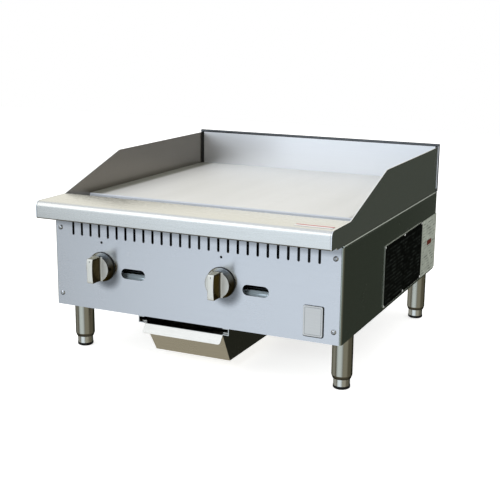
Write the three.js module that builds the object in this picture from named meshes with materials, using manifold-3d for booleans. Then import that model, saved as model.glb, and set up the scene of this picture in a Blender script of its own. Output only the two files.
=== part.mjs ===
// A countertop flat top griddle with two gas burners, as a three.js scene.
// Millimetres. +Z is up, +X is to the right seen from the front, and the front faces -Y.
// The origin is under the middle of the envelope, on the surface that the feet stand on.
import * as THREE from 'three';
import { mergeVertices } from 'three/addons/utils/BufferGeometryUtils.js';
import Module from 'manifold-3d';

const wasm = await Module();
wasm.setup();

// Overall sizes
const WIDTH = 609.6;
const DEPTH = 698;
const BODY_BOTTOM = 104;
const BODY_TOP = BODY_BOTTOM + 182;
const LEDGE_BOTTOM = BODY_BOTTOM + 186;
const LEDGE_TOP = BODY_BOTTOM + 220;
const PLATE_TOP = BODY_BOTTOM + 208;
const WING_TOP = BODY_BOTTOM + 284.5;
const BACK_TOP = BODY_BOTTOM + 291;

// Places along the depth
const LEDGE_FRONT = -DEPTH / 2;
const PANEL_FRONT = LEDGE_FRONT + 60;
const LEDGE_BACK = PANEL_FRONT + 41;
const WING_START = PANEL_FRONT + 35;
const WING_PEAK = PANEL_FRONT + 241;
const PLATE_FRONT = PANEL_FRONT + 122;
const BACK = DEPTH / 2;
const SPLASH_FACE = BACK - 8;

// Sheets, gaps and plates
const GAP = 0.3;
const SHEET = 1.5;
const SPLASH_SHEET = 2;
const PLATE_THICKNESS = 19;
const SIDE = WIDTH / 2;
const SIDE_BEND = 4;
const SPLASH_OUTSIDE = SIDE - 1.4;
const SPLASH_INSIDE = SPLASH_OUTSIDE - SPLASH_SHEET;
const FLANGE_FRONT = PANEL_FRONT + SHEET + GAP;
const DATA_PLATE_THICKNESS = 0.5;

// Front panel
const PANEL_SIDE = SIDE - 4.2;
const PANEL_TOP = LEDGE_TOP - 6;
const VENT_COUNT = 27;
const VENT_PITCH = 20;
const VENT_WIDTH = 5.2;
const VENT_BOTTOM = BODY_BOTTOM + 146;
const VENT_HEIGHT = 30;
const SHAFT_HOLE_RADIUS = 6;
const PILOT_HOLE_RADIUS = 2.6;
const SCREW_HOLE_RADIUS = 2.4;
const RETURN_DEPTH = 18;
const KNOB_X = [-195, 66];
const KNOB_Z = BODY_BOTTOM + 88.5;
const SLOT_X = [-124.4, 136.6];
const SLOT_Z = BODY_BOTTOM + 80.4;
const SLOT_WIDTH = 53.5;
const SLOT_HEIGHT = 20.5;
const PILOT_Z = BODY_BOTTOM + 137;
const SCREW_X = 290.2;
const SCREW_Z = [BODY_BOTTOM + 24, BODY_BOTTOM + 158.7];

// Legs
const LEG_RADIUS = 19.8;
const LEG_X = SIDE - 20;
const LEG_FRONT = PANEL_FRONT + 67.5;
const LEG_BACK = BACK - 67.5;
const LEG_BOTTOM = 20;
const LEG_CAP_RADIUS = 16;
const FOOT_RADIUS = 15.7;
const STUD_RADIUS = 5;
const STUD_HOLE_RADIUS = STUD_RADIUS + 0.6;
const GLIDE_HEIGHT = 4;

// Gas train
const MANIFOLD_Y = PANEL_FRONT + 48;
const MANIFOLD_Z = KNOB_Z - 29;
const MANIFOLD_RADIUS = 13.4;
const INLET_X = 255;
const CAP_X = -241;
const BURNER_RADIUS = 16;
const BURNER_SPREAD = 129;
const BURNER_FRONT = MANIFOLD_Y + 35;
const BURNER_BACK = 270;
const BURNER_WALL = 2;
const BURNER_BEND = 30;
const BAFFLE_Y = PLATE_FRONT + 10;
const VALVE_FRONT = MANIFOLD_Y - 22;
const VALVE_BACK = MANIFOLD_Y + 14;
const VALVE_RADIUS = 12;
const STEM_RADIUS = 3.9;

// Grease path
const TRAY_X = -16;
const TRAY_RIM = BODY_BOTTOM - 10.8;
const TRAY_BOTTOM = BODY_BOTTOM - 78;
const TRAY_HALF = 84.5;
const TRAY_LENGTH = 300;
const TRAY_SHEET = 1.2;
const TRAY_SLOPE = 41;
const TRAY_TAPER = 3;
const TRAY_FLANGE = 10;
const LIP_DROP = 3.3;
const LIP_LENGTH = 21;
const LIP_ANGLE = 0.86;
const RAIL_HALF = 98;
const RAIL_FLANGE = 13;
const TROUGH_BOTTOM = BODY_BOTTOM + 158;
const TROUGH_FRONT = LEDGE_BACK + SHEET + GAP;
const TROUGH_BACK = PLATE_FRONT + 7;
const CHUTE_Y = PANEL_FRONT + 89;
const CHUTE_WIDTH = 64;
const CHUTE_DEPTH = 44;

const ROUND_SEGMENTS = 24;
const HOLE_SEGMENTS = 12;
const BEND_STEPS = 4;

const griddle = new THREE.Group();
// The data plate stands proud on the right, so the body sits half as far to the left.
griddle.position.x = -(GAP + DATA_PLATE_THICKNESS) / 2;

// ---------------------------------------------------------------- geometry tools

function toSolid(geometry) {
  const bare = geometry.index ? geometry.toNonIndexed() : geometry.clone();
  bare.deleteAttribute('normal');
  bare.deleteAttribute('uv');
  const merged = mergeVertices(bare, 1e-4);
  return new wasm.Manifold(new wasm.Mesh({
    numProp: 3,
    vertProperties: new Float32Array(merged.attributes.position.array),
    triVerts: new Uint32Array(merged.index.array),
  }));
}

function toGeometry(solid) {
  const mesh = solid.getMesh();
  const geometry = new THREE.BufferGeometry();
  geometry.setAttribute('position', new THREE.BufferAttribute(mesh.vertProperties, 3));
  geometry.setIndex(new THREE.BufferAttribute(mesh.triVerts, 1));
  return geometry;
}

function join(first, ...others) {
  return toGeometry(others.reduce((solid, other) => solid.add(toSolid(other)), toSolid(first)));
}

function cut(first, ...others) {
  return toGeometry(others.reduce((solid, other) => solid.subtract(toSolid(other)), toSolid(first)));
}

function block(x, y, z) {
  const geometry = new THREE.BoxGeometry(x[1] - x[0], y[1] - y[0], z[1] - z[0]);
  return geometry.translate((x[0] + x[1]) / 2, (y[0] + y[1]) / 2, (z[0] + z[1]) / 2);
}

// A shape drawn in (y, z), extruded from x0 to x1.
function alongX(shape, x0, x1) {
  const geometry = new THREE.ExtrudeGeometry(shape, { depth: x1 - x0, bevelEnabled: false });
  const turn = new THREE.Matrix4().makeBasis(
    new THREE.Vector3(0, 1, 0), new THREE.Vector3(0, 0, 1), new THREE.Vector3(1, 0, 0));
  return geometry.applyMatrix4(turn).translate(x0, 0, 0);
}

// A shape drawn in (x, z), extruded from y0 to y1.
function alongY(shape, y0, y1) {
  const geometry = new THREE.ExtrudeGeometry(shape, { depth: y1 - y0, bevelEnabled: false });
  return geometry.rotateX(Math.PI / 2).translate(0, y1, 0);
}

// A shape drawn in (x, y), extruded from z0 to z1.
function alongZ(shape, z0, z1) {
  const geometry = new THREE.ExtrudeGeometry(shape, { depth: z1 - z0, bevelEnabled: false });
  return geometry.translate(0, 0, z0);
}

// A turned piece about Z: [radius, height] pairs from the lower axis point out and up to the upper one.
function turned(profile, segments = ROUND_SEGMENTS) {
  const points = profile.map(([r, z]) => new THREE.Vector2(r, z));
  return new THREE.LatheGeometry(points, segments).rotateX(Math.PI / 2);
}

// A turned piece whose axis runs along -Y, so that heights in the profile grow towards the front.
function turnedForward(profile, segments = ROUND_SEGMENTS) {
  return turned(profile, segments).rotateX(Math.PI / 2);
}

function rod(radius, z0, z1, segments = HOLE_SEGMENTS) {
  return turned([[0, z0], [radius, z0], [radius, z1], [0, z1]], segments);
}

function rodAlongY(radius, y0, y1, x, z, segments = HOLE_SEGMENTS) {
  return turnedForward([[0, -y1], [radius, -y1], [radius, -y0], [0, -y0]], segments).translate(x, 0, z);
}

function ring(inner, outer, z0, z1, segments = ROUND_SEGMENTS) {
  return turned([[inner, z0], [outer, z0], [outer, z1], [inner, z1], [inner, z0]], segments);
}

function polygon(points) {
  return new THREE.Shape(points.map(([a, b]) => new THREE.Vector2(a, b)));
}

// A rectangle with rounded corners about the centre (a, b).
function roundedRectangle(a, b, width, height, radius, steps = 2) {
  const points = [];
  const quarters = [[1, 1], [-1, 1], [-1, -1], [1, -1]];
  quarters.forEach(([sideA, sideB], quarter) => {
    const centre = new THREE.Vector2(a + sideA * (width / 2 - radius), b + sideB * (height / 2 - radius));
    for (let step = 0; step <= steps; step += 1) {
      const angle = (quarter + step / steps) * (Math.PI / 2);
      const spoke = new THREE.Vector2(Math.cos(angle), Math.sin(angle));
      points.push(centre.clone().addScaledVector(spoke, radius));
    }
  });
  return new THREE.Shape(points);
}

function circle(a, b, radius, segments = HOLE_SEGMENTS) {
  const points = [];
  for (let i = 0; i < segments; i += 1) {
    const angle = (i / segments) * Math.PI * 2;
    points.push(new THREE.Vector2(a + radius * Math.cos(angle), b + radius * Math.sin(angle)));
  }
  return new THREE.Shape(points);
}

// Replaces each inner corner [a, b, radius] of a path with an arc. Every result has a point and a normal.
function roundedPath(corners) {
  const at = corners.map(([a, b]) => new THREE.Vector2(a, b));
  const path = [];
  at.forEach((corner, i) => {
    const before = at[i - 1];
    const after = at[i + 1];
    const radius = corners[i][2] ?? 0;
    const into = before && corner.clone().sub(before).normalize();
    const out = after && after.clone().sub(corner).normalize();
    if (!before || !after || radius === 0) {
      const along = (into ?? out).clone().add(out ?? into).normalize();
      path.push({ point: corner, normal: new THREE.Vector2(-along.y, along.x) });
      return;
    }
    const turn = Math.atan2(into.cross(out), into.dot(out));
    const back = radius * Math.tan(Math.abs(turn) / 2);
    const start = corner.clone().addScaledVector(into, -back);
    const side = new THREE.Vector2(-into.y, into.x).multiplyScalar(Math.sign(turn));
    const centre = start.clone().addScaledVector(side, radius);
    for (let step = 0; step <= BEND_STEPS; step += 1) {
      const spin = (turn * step) / BEND_STEPS;
      const spoke = side.clone().negate().rotateAround(new THREE.Vector2(), spin);
      const point = centre.clone().addScaledVector(spoke, radius);
      path.push({ point, normal: spoke.multiplyScalar(-Math.sign(turn)) });
    }
  });
  return path;
}

// The outline of a bent sheet: the path is one face, and the sheet lies to the path's left.
function bentSheet(corners, thickness) {
  const path = roundedPath(corners);
  const face = path.map(({ point }) => point);
  const other = path.map(({ point, normal }) => point.clone().addScaledVector(normal, thickness));
  return new THREE.Shape([...face, ...other.reverse()]);
}

// A path through knots, with every knot kept as a cross-section of the extrusion.
class KnotPath extends THREE.Curve {
  constructor(knots) {
    super();
    this.knots = knots;
  }

  getPointAt(u, target = new THREE.Vector3()) {
    return target.copy(this.knots[Math.round(u * (this.knots.length - 1))]);
  }

  getTangentAt(u, target = new THREE.Vector3()) {
    const last = this.knots.length - 1;
    const i = Math.round(u * last);
    const ahead = this.knots[Math.min(i + 1, last)];
    return target.subVectors(ahead, this.knots[Math.max(i - 1, 0)]).normalize();
  }
}

// Knots for a pipe in a level plane: [x, y, bend radius] corners at height z.
function levelPath(corners, z) {
  return new KnotPath(roundedPath(corners).map(({ point }) => new THREE.Vector3(point.x, point.y, z)));
}

function pipe(path, outer, inner, segments = HOLE_SEGMENTS) {
  const section = circle(0, 0, outer, segments);
  if (inner > 0) {
    section.holes.push(circle(0, 0, inner, segments));
  }
  return new THREE.ExtrudeGeometry(section, {
    steps: path.knots.length - 1, extrudePath: path,
  });
}

function material(color, roughness, metalness) {
  return new THREE.MeshStandardMaterial({ color, roughness, metalness });
}

const stainless = () => material(0xc4cad2, 0.35, 0.9);
const brightSteel = () => material(0xdcdcd8, 0.25, 0.95);
const darkSteel = () => material(0x4b4f48, 0.45, 0.8);
const brass = () => material(0xb89a55, 0.35, 0.9);
const castIron = () => material(0x3a3a3c, 0.7, 0.5);
const blackPlastic = () => material(0x141414, 0.55, 0);

function place(name, geometry, finish, x = 0, y = 0, z = 0) {
  const mesh = new THREE.Mesh(geometry, finish);
  mesh.name = name;
  mesh.position.set(x, y, z);
  griddle.add(mesh);
  return mesh;
}

// ---------------------------------------------------------------- casing

function frontPanel() {
  const height = PANEL_TOP - BODY_BOTTOM;
  const sheet = roundedRectangle(0, BODY_BOTTOM + height / 2, PANEL_SIDE * 2, height, 1);
  for (let i = 0; i < VENT_COUNT; i += 1) {
    const x = (i - (VENT_COUNT - 1) / 2) * VENT_PITCH;
    const middle = VENT_BOTTOM + VENT_HEIGHT / 2;
    sheet.holes.push(roundedRectangle(x, middle, VENT_WIDTH, VENT_HEIGHT, VENT_WIDTH / 2 - 0.01));
  }
  for (const x of SLOT_X) {
    sheet.holes.push(roundedRectangle(x, SLOT_Z, SLOT_WIDTH, SLOT_HEIGHT, SLOT_HEIGHT / 2 - 0.01));
  }
  for (const x of KNOB_X) {
    sheet.holes.push(circle(x, KNOB_Z, SHAFT_HOLE_RADIUS));
    sheet.holes.push(circle(x, PILOT_Z, PILOT_HOLE_RADIUS));
  }
  for (const x of [-SCREW_X, SCREW_X]) {
    for (const z of SCREW_Z) {
      sheet.holes.push(circle(x, z, SCREW_HOLE_RADIUS));
    }
  }
  const face = alongY(sheet, PANEL_FRONT, PANEL_FRONT + SHEET);
  const returnHalf = SIDE - 27;
  const bottomReturn = block([-returnHalf, returnHalf], [PANEL_FRONT + 0.5, PANEL_FRONT + RETURN_DEPTH],
    [BODY_BOTTOM, BODY_BOTTOM + SHEET]);
  return join(face, bottomReturn);
}

// The right side panel; the left one is its mirror image.
function sidePanel(mirror) {
  const rear = BACK - SHEET - GAP;
  const wall = alongZ(bentSheet([
    [SIDE - 25, FLANGE_FRONT], [SIDE, FLANGE_FRONT, SIDE_BEND], [SIDE, rear, SIDE_BEND], [SIDE - 20, rear],
  ], SHEET), BODY_BOTTOM, BODY_TOP);
  const flangeY = [FLANGE_FRONT + SIDE_BEND, rear - SIDE_BEND];
  const top = block([SIDE - 18, SIDE - 0.5], [TROUGH_BACK + 3, flangeY[1]], [BODY_TOP - SHEET, BODY_TOP]);
  const lower = BODY_BOTTOM + SHEET + GAP;
  const bottom = block([SIDE - 45, SIDE - 0.5], flangeY, [lower, lower + SHEET]);
  const studs = [LEG_FRONT, LEG_BACK].map((y) => (
    rod(STUD_HOLE_RADIUS, lower - 1, lower + SHEET + 1).translate(LEG_X, y, 0)));
  const screws = SCREW_Z.map((z) => (
    rodAlongY(SCREW_HOLE_RADIUS, FLANGE_FRONT - 1, FLANGE_FRONT + SHEET + 1, SCREW_X, z)));
  const right = toSolid(cut(join(wall, top, bottom), ...studs, ...screws));
  return toGeometry(mirror ? right.mirror([1, 0, 0]) : right);
}

function rearPanel() {
  const half = SIDE - 2;
  const sheet = roundedRectangle(0, (BODY_BOTTOM + BODY_TOP) / 2, half * 2, BODY_TOP - BODY_BOTTOM, 1);
  const flueCount = 8;
  for (let i = 0; i < flueCount; i += 1) {
    const x = (i - (flueCount - 1) / 2) * 64;
    sheet.holes.push(roundedRectangle(x, BODY_TOP - 30, 46, 12, 5.9));
  }
  sheet.holes.push(circle(INLET_X, MANIFOLD_Z, 21));
  return alongY(sheet, BACK - SHEET, BACK);
}

function bottomPan() {
  const half = SIDE - 3.3;
  const front = PANEL_FRONT + RETURN_DEPTH + 0.5;
  const rear = BACK - 5.5;
  const pan = polygon([[-half, front], [half, front], [half, rear], [-half, rear]]);
  for (const x of [-LEG_X, LEG_X]) {
    for (const y of [LEG_FRONT, LEG_BACK]) {
      pan.holes.push(circle(x, y, STUD_HOLE_RADIUS));
    }
  }
  pan.holes.push(roundedRectangle(TRAY_X, CHUTE_Y, CHUTE_WIDTH + 2, CHUTE_DEPTH + 2, 2));
  for (const x of [-190, 190]) {
    for (const y of [-60, 60, 180]) {
      pan.holes.push(roundedRectangle(x, y, 90, 60, 6));
    }
  }
  return alongZ(pan, BODY_BOTTOM, BODY_BOTTOM + SHEET);
}

// ---------------------------------------------------------------- top

function frontLedge() {
  const outline = bentSheet([
    [LEDGE_BACK, LEDGE_TOP - 24], [LEDGE_BACK, LEDGE_TOP, 3], [LEDGE_FRONT, LEDGE_TOP, 11],
    [LEDGE_FRONT, LEDGE_BOTTOM, 3], [LEDGE_FRONT + 24, LEDGE_BOTTOM],
  ], SHEET);
  return alongX(outline, -(SPLASH_INSIDE - GAP), SPLASH_INSIDE - GAP);
}

function sideSplash(side) {
  const outline = roundedPath([
    [LEDGE_FRONT + 30, BODY_TOP + GAP], [SPLASH_FACE - GAP, BODY_TOP + GAP],
    [SPLASH_FACE - GAP, WING_TOP], [WING_PEAK, WING_TOP, 8], [WING_START, LEDGE_TOP, 4],
    [LEDGE_FRONT, LEDGE_TOP, 11], [LEDGE_FRONT, LEDGE_BOTTOM, 3], [LEDGE_FRONT + 26, LEDGE_BOTTOM],
  ]).map(({ point }) => point);
  const sheet = new THREE.Shape(outline);
  return side > 0
    ? alongX(sheet, SPLASH_INSIDE, SPLASH_OUTSIDE)
    : alongX(sheet, -SPLASH_OUTSIDE, -SPLASH_INSIDE);
}

function backSplash() {
  const outline = bentSheet([
    [BACK, BODY_TOP + GAP], [BACK, BACK_TOP, 3], [SPLASH_FACE, BACK_TOP, 4.5],
    [SPLASH_FACE, PLATE_TOP - PLATE_THICKNESS],
  ], SHEET);
  return alongX(outline, -SIDE, SIDE);
}

function griddlePlate() {
  const bottom = PLATE_TOP - PLATE_THICKNESS;
  const rear = SPLASH_FACE - GAP;
  const outline = polygon([
    [PLATE_FRONT + 1, bottom], [rear, bottom], [rear, PLATE_TOP],
    [PLATE_FRONT + 2, PLATE_TOP], [PLATE_FRONT, PLATE_TOP - 2], [PLATE_FRONT, bottom + 1],
  ]);
  return alongX(outline, -(SPLASH_INSIDE - GAP), SPLASH_INSIDE - GAP);
}

function greaseTrough() {
  const half = SPLASH_INSIDE - 1.5;
  const outline = bentSheet([
    [TROUGH_FRONT, LEDGE_TOP - 8], [TROUGH_FRONT, TROUGH_BOTTOM, 4],
    [TROUGH_BACK, TROUGH_BOTTOM, 4], [TROUGH_BACK, PLATE_TOP - PLATE_THICKNESS - GAP],
  ], SHEET);
  const channel = alongX(outline, -half, half);
  const end = block([half - SHEET, half], [TROUGH_FRONT + 0.4, TROUGH_BACK - 0.4],
    [TROUGH_BOTTOM + 1.2, PLATE_TOP - PLATE_THICKNESS - 2]);
  const ends = [end, end.clone().translate(SHEET - 2 * half, 0, 0)];
  const drain = alongZ(roundedRectangle(TRAY_X, CHUTE_Y, CHUTE_WIDTH - 6, CHUTE_DEPTH - 6, 4),
    TROUGH_BOTTOM - 5, TROUGH_BOTTOM + 5);
  return cut(join(channel, ...ends), drain);
}

function greaseChute() {
  const tube = roundedRectangle(TRAY_X, CHUTE_Y, CHUTE_WIDTH, CHUTE_DEPTH, 4);
  tube.holes.push(roundedRectangle(TRAY_X, CHUTE_Y, CHUTE_WIDTH - 3, CHUTE_DEPTH - 3, 2.5));
  return alongZ(tube, BODY_BOTTOM - 6, TROUGH_BOTTOM - GAP);
}

// An angle iron that stands on a side panel's top flange and carries one edge of the plate.
function plateAngle(side) {
  const thick = 6.1;
  const low = BODY_TOP + GAP;
  const inner = SIDE - 25;
  const outline = polygon([
    [side * inner, low - 30], [side * (inner + thick), low - 30], [side * (inner + thick), low],
    [side * (SPLASH_INSIDE - GAP), low], [side * (SPLASH_INSIDE - GAP), low + thick],
    [side * inner, low + thick],
  ]);
  return alongY(outline, PLATE_FRONT + 20, SPLASH_FACE - 12);
}

// ---------------------------------------------------------------- gas train

function heatBaffle() {
  const half = SIDE - 27;
  const low = BODY_BOTTOM + 2 * (SHEET + GAP);
  const high = PLATE_TOP - PLATE_THICKNESS - 3;
  const sheet = polygon([[-half, low], [half, low], [half, high], [-half, high]]);
  KNOB_X.forEach((x, i) => {
    sheet.holes.push(circle(x, KNOB_Z, BURNER_RADIUS + 1.5));
    sheet.holes.push(roundedRectangle(SLOT_X[i], SLOT_Z - 32, 62, 44, 6));
    sheet.holes.push(circle(x + BURNER_SPREAD / 2, PILOT_Z, 3.4));
  });
  const wall = alongY(sheet, BAFFLE_Y, BAFFLE_Y + SHEET);
  const notch = rodAlongY(MANIFOLD_RADIUS + 1.5, BAFFLE_Y - 2, BAFFLE_Y + 4, INLET_X, MANIFOLD_Z);
  const foot = block([-half, half], [BAFFLE_Y + 0.5, BAFFLE_Y + 16], [low, low + SHEET]);
  return cut(join(wall, foot), notch);
}

// A U-shaped tube burner: in along the left leg, round the back and forward along the right leg.
function burner() {
  const legEnd = BAFFLE_Y + 30;
  const path = levelPath([
    [0, BURNER_FRONT], [0, BURNER_BACK, BURNER_BEND], [BURNER_SPREAD, BURNER_BACK, BURNER_BEND],
    [BURNER_SPREAD, legEnd],
  ], 0);
  const tube = pipe(path, BURNER_RADIUS, BURNER_RADIUS - BURNER_WALL);
  const cap = rodAlongY(BURNER_RADIUS, legEnd - 2, legEnd + 1, BURNER_SPREAD, 0);
  const flamePorts = [];
  for (const x of [0, BURNER_SPREAD]) {
    for (let y = legEnd + 15; y < BURNER_BACK - BURNER_BEND - 10; y += 36) {
      flamePorts.push(block([x - 8, x + 8], [y, y + 3], [BURNER_RADIUS - 6, BURNER_RADIUS + 3]));
    }
  }
  const airWindow = block([-10, 10], [BURNER_FRONT + 8, BURNER_FRONT + 24], [-20, 20]);
  return cut(join(tube, cap), airWindow, ...flamePorts);
}

function airShutter() {
  const sleeve = ring(BURNER_RADIUS + 0.5, BURNER_RADIUS + 2, 0, 28);
  const windows = block([-10, 10], [-20, 20], [6, 22]);
  return cut(sleeve, windows).rotateX(-Math.PI / 2);
}

function gasManifold() {
  const path = levelPath([
    [CAP_X + 6, MANIFOLD_Y], [INLET_X, MANIFOLD_Y, 38], [INLET_X, BACK - 20],
  ], MANIFOLD_Z);
  const tube = pipe(path, MANIFOLD_RADIUS, MANIFOLD_RADIUS - 2.5);
  const cap = rod(MANIFOLD_RADIUS + 1.5, -1, 12).rotateY(Math.PI / 2)
    .translate(CAP_X, MANIFOLD_Y, MANIFOLD_Z);
  return join(tube, cap);
}

function inletCoupling() {
  return ring(MANIFOLD_RADIUS + 2 * GAP, MANIFOLD_RADIUS + 5.6, 0, 30, 24).rotateX(-Math.PI / 2);
}

function gasValve() {
  const barrel = rodAlongY(VALVE_RADIUS, VALVE_FRONT, VALVE_BACK, 0, 0);
  const neck = rod(8, -KNOB_Z + MANIFOLD_Z + MANIFOLD_RADIUS + GAP, 0).translate(0, MANIFOLD_Y, 0);
  const collar = turnedForward([[0, 0], [14, 0], [14, 5], [0, 5]], 6).translate(0, VALVE_FRONT, 0);
  const bore = rodAlongY(STEM_RADIUS + GAP, VALVE_FRONT - 18, MANIFOLD_Y - 8, 0, 0);
  return cut(join(barrel, neck, collar), bore);
}

// A round stem with one flat on its upper side, where the knob grips it.
function valveStem() {
  const stem = rodAlongY(STEM_RADIUS, PANEL_FRONT - 27, MANIFOLD_Y - 10, 0, 0);
  const flat = block([-5, 5], [PANEL_FRONT - 30, PANEL_FRONT - 12], [STEM_RADIUS - 1.2, STEM_RADIUS + 2]);
  return cut(stem, flat);
}

function orificeHood() {
  const hex = turnedForward([[0, 0], [9, 0], [9, 10], [0, 10]], 6).translate(0, 10, 0);
  const nose = rodAlongY(6, 9, 17, 0, 0);
  const jet = rodAlongY(1.2, -1, 20, 0, 0, 8);
  return cut(join(hex, nose), jet);
}

function pilotValve() {
  const barrel = rodAlongY(7, VALVE_FRONT - 2, MANIFOLD_Y - 2, 0, 0);
  const neck = rod(4, KNOB_Z + VALVE_RADIUS + GAP - PILOT_Z, 0).translate(0, MANIFOLD_Y - 12, 0);
  const driverSlot = block([-5, 5], [VALVE_FRONT - 3, VALVE_FRONT - 0.5], [-0.7, 0.7]);
  return cut(join(barrel, neck), driverSlot);
}

function pilotTube() {
  const reach = BURNER_SPREAD / 2;
  const bend = MANIFOLD_Y + 45;
  const path = levelPath([
    [0, MANIFOLD_Y - 2 + GAP], [0, bend, 12], [reach, bend, 12], [reach, BAFFLE_Y + 6],
  ], 0);
  return pipe(path, 2.4, 1.4, 6);
}

function pilotBurner() {
  const face = BAFFLE_Y + SHEET + GAP;
  const bracket = block([-12, 12], [face, face + SHEET], [-20, 14]);
  const barrel = rodAlongY(6, face + 0.5, face + 24, 0, 0);
  const hood = block([-9, 9], [face + 20, face + 34], [-7, 7]);
  const flame = block([-6, 6], [face + 26, face + 36], [-4.5, 4.5]);
  const seat = rodAlongY(2.8, face - 1, face + 8, 0, 0);
  return cut(join(bracket, barrel, hood), flame, seat);
}

// ---------------------------------------------------------------- knobs

const BEZEL_THICKNESS = 2;
const BEZEL_FRONT = PANEL_FRONT - GAP - BEZEL_THICKNESS;

function knobBezel() {
  return turnedForward([
    [6.2, 0], [29.5, 0], [29.5, 1.4], [28.9, BEZEL_THICKNESS], [6.2, BEZEL_THICKNESS], [6.2, 0],
  ]);
}

// A cone-shaped skirt with a round face, and a grip bar standing across the face.
function knob() {
  const skirt = turnedForward([
    [0, 10], [22, 10], [22.4, 0], [28, 0], [28.8, 0.8], [25.6, 14], [24.8, 15.6], [0, 15.6],
  ], 32);
  const hub = turnedForward([[0, 0.6], [8, 0.6], [8, 11], [0, 11]]);
  const bar = polygon([
    [-10, -15], [10, -15], [7.2, -21], [6.7, -40.4], [5.5, -41.6], [-5.5, -41.6], [-6.7, -40.4], [-7.2, -21],
  ]);
  const grip = alongZ(bar, -24, 24);
  const bore = rodAlongY(STEM_RADIUS + GAP, -28, 2, 0, 0);
  return cut(join(skirt, hub, grip), bore);
}

// ---------------------------------------------------------------- legs and feet

function leg() {
  const top = BODY_BOTTOM - GAP;
  const cap = LEG_CAP_RADIUS;
  return turned([
    [0, top - 8], [18, top - 8], [18, LEG_BOTTOM + 12], [cap, LEG_BOTTOM + 10], [cap, LEG_BOTTOM],
    [cap + 1, LEG_BOTTOM], [LEG_RADIUS, LEG_BOTTOM + 7], [LEG_RADIUS, top], [STUD_RADIUS, top],
    [STUD_RADIUS, top + 16], [0, top + 16],
  ]);
}

function footInsert() {
  const base = GLIDE_HEIGHT + GAP;
  return turned([
    [0, 8], [7, 8], [7, base], [FOOT_RADIUS - 1, base], [FOOT_RADIUS, base + 1], [FOOT_RADIUS, 54],
    [12, 56], [12, 14], [0, 14],
  ]);
}

function footGlide() {
  return turned([
    [0, 0], [13, 0], [14.2, 1.2], [13.4, GLIDE_HEIGHT], [6.5, GLIDE_HEIGHT], [6.5, GLIDE_HEIGHT + 3.6],
    [0, GLIDE_HEIGHT + 3.6],
  ]);
}

// ---------------------------------------------------------------- grease tray

// A tray body with sloping front and sides; the inner one is a sheet's thickness smaller.
function trayBody(inset, rise) {
  const front = PANEL_FRONT + inset * 1.2;
  const rear = PANEL_FRONT + TRAY_LENGTH - inset;
  const low = TRAY_BOTTOM + inset;
  const high = TRAY_RIM + rise;
  const slope = TRAY_SLOPE / (TRAY_RIM - TRAY_BOTTOM);
  const outline = polygon([
    [front + (TRAY_RIM - low) * slope, low], [rear, low], [rear, high], [front - rise * slope, high],
  ]);
  const body = alongX(outline, -1, 1);
  const corners = body.attributes.position;
  for (let i = 0; i < corners.count; i += 1) {
    const depth = (TRAY_RIM - corners.getZ(i)) / (TRAY_RIM - TRAY_BOTTOM);
    corners.setX(i, TRAY_X + corners.getX(i) * (TRAY_HALF - inset - TRAY_TAPER * depth));
  }
  return body;
}

function greaseTray() {
  const sheet = TRAY_SHEET;
  const inside = trayBody(sheet, 5);
  const lipTop = TRAY_RIM - LIP_DROP;
  const acrossTray = [TRAY_X - 100, TRAY_X + 100];
  const frontNotch = block(acrossTray, [PANEL_FRONT - 5, PANEL_FRONT + 8], [lipTop, TRAY_RIM + 1]);
  const shell = cut(trayBody(0, 0), frontNotch);
  const flangeZ = [TRAY_RIM - sheet, TRAY_RIM];
  const flangeY = [PANEL_FRONT + 8.5, PANEL_FRONT + TRAY_LENGTH];
  const left = block([TRAY_X - TRAY_HALF - TRAY_FLANGE, TRAY_X - TRAY_HALF + 1], flangeY, flangeZ);
  const right = block([TRAY_X + TRAY_HALF - 1, TRAY_X + TRAY_HALF + TRAY_FLANGE], flangeY, flangeZ);
  // The lip is drawn flat, with rounded outer corners, then folded down about its inner edge.
  const flat = alongZ(roundedRectangle(TRAY_X, 0, TRAY_HALF * 2, LIP_LENGTH * 2, 4), -sheet, 0);
  const innerHalf = block(acrossTray, [-1.3, LIP_LENGTH + 1], [-5, 5]);
  const lip = cut(flat, innerHalf).rotateX(LIP_ANGLE).translate(0, PANEL_FRONT + 3.4, lipTop);
  return cut(join(shell, left, right, lip), inside);
}

// The left rail is a channel that opens towards the tray; the right one mirrors it.
function trayRail(side) {
  const web = TRAY_X + side * RAIL_HALF;
  const inner = web - side * RAIL_FLANGE;
  const high = BODY_BOTTOM - GAP;
  const low = TRAY_RIM - TRAY_SHEET - GAP;
  const outline = polygon([
    [web, low - SHEET], [web, high], [inner, high], [inner, high - SHEET],
    [web - side * SHEET, high - SHEET], [web - side * SHEET, low], [inner, low], [inner, low - SHEET],
  ]);
  const rail = alongY(outline, PANEL_FRONT + 1, PANEL_FRONT + TRAY_LENGTH + 8);
  const stop = block([Math.min(web, inner), Math.max(web, inner)],
    [PANEL_FRONT + TRAY_LENGTH + 2, PANEL_FRONT + TRAY_LENGTH + 4], [low - 0.5, high - 0.5]);
  return join(rail, stop);
}

// ---------------------------------------------------------------- fasteners and labels

function panelScrew() {
  const body = turnedForward([
    [0, -10], [1.9, -10], [1.9, 0], [4.6, 0], [4.6, 0.9], [3.6, 2.1], [0, 2.7],
  ], 16);
  const crossA = block([-2.3, 2.3], [-4, -1.6], [-0.45, 0.45]);
  const crossB = block([-0.45, 0.45], [-4, -1.6], [-2.3, 2.3]);
  return cut(body, crossA, crossB);
}

function badge() {
  return alongY(roundedRectangle(251.3, BODY_BOTTOM + 38.8, 39.4, 58.6, 3.5),
    PANEL_FRONT - GAP - 2, PANEL_FRONT - GAP);
}

function sidePlate(y, z, width, height, thickness) {
  const x = SIDE + GAP;
  return alongX(roundedRectangle(y, z, width, height, 2), x, x + thickness);
}

function ledgeLabel() {
  return block([226, 296], [LEDGE_FRONT + 20, LEDGE_FRONT + 36], [LEDGE_TOP + GAP, LEDGE_TOP + GAP + 0.4]);
}

// ---------------------------------------------------------------- assembly

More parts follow.
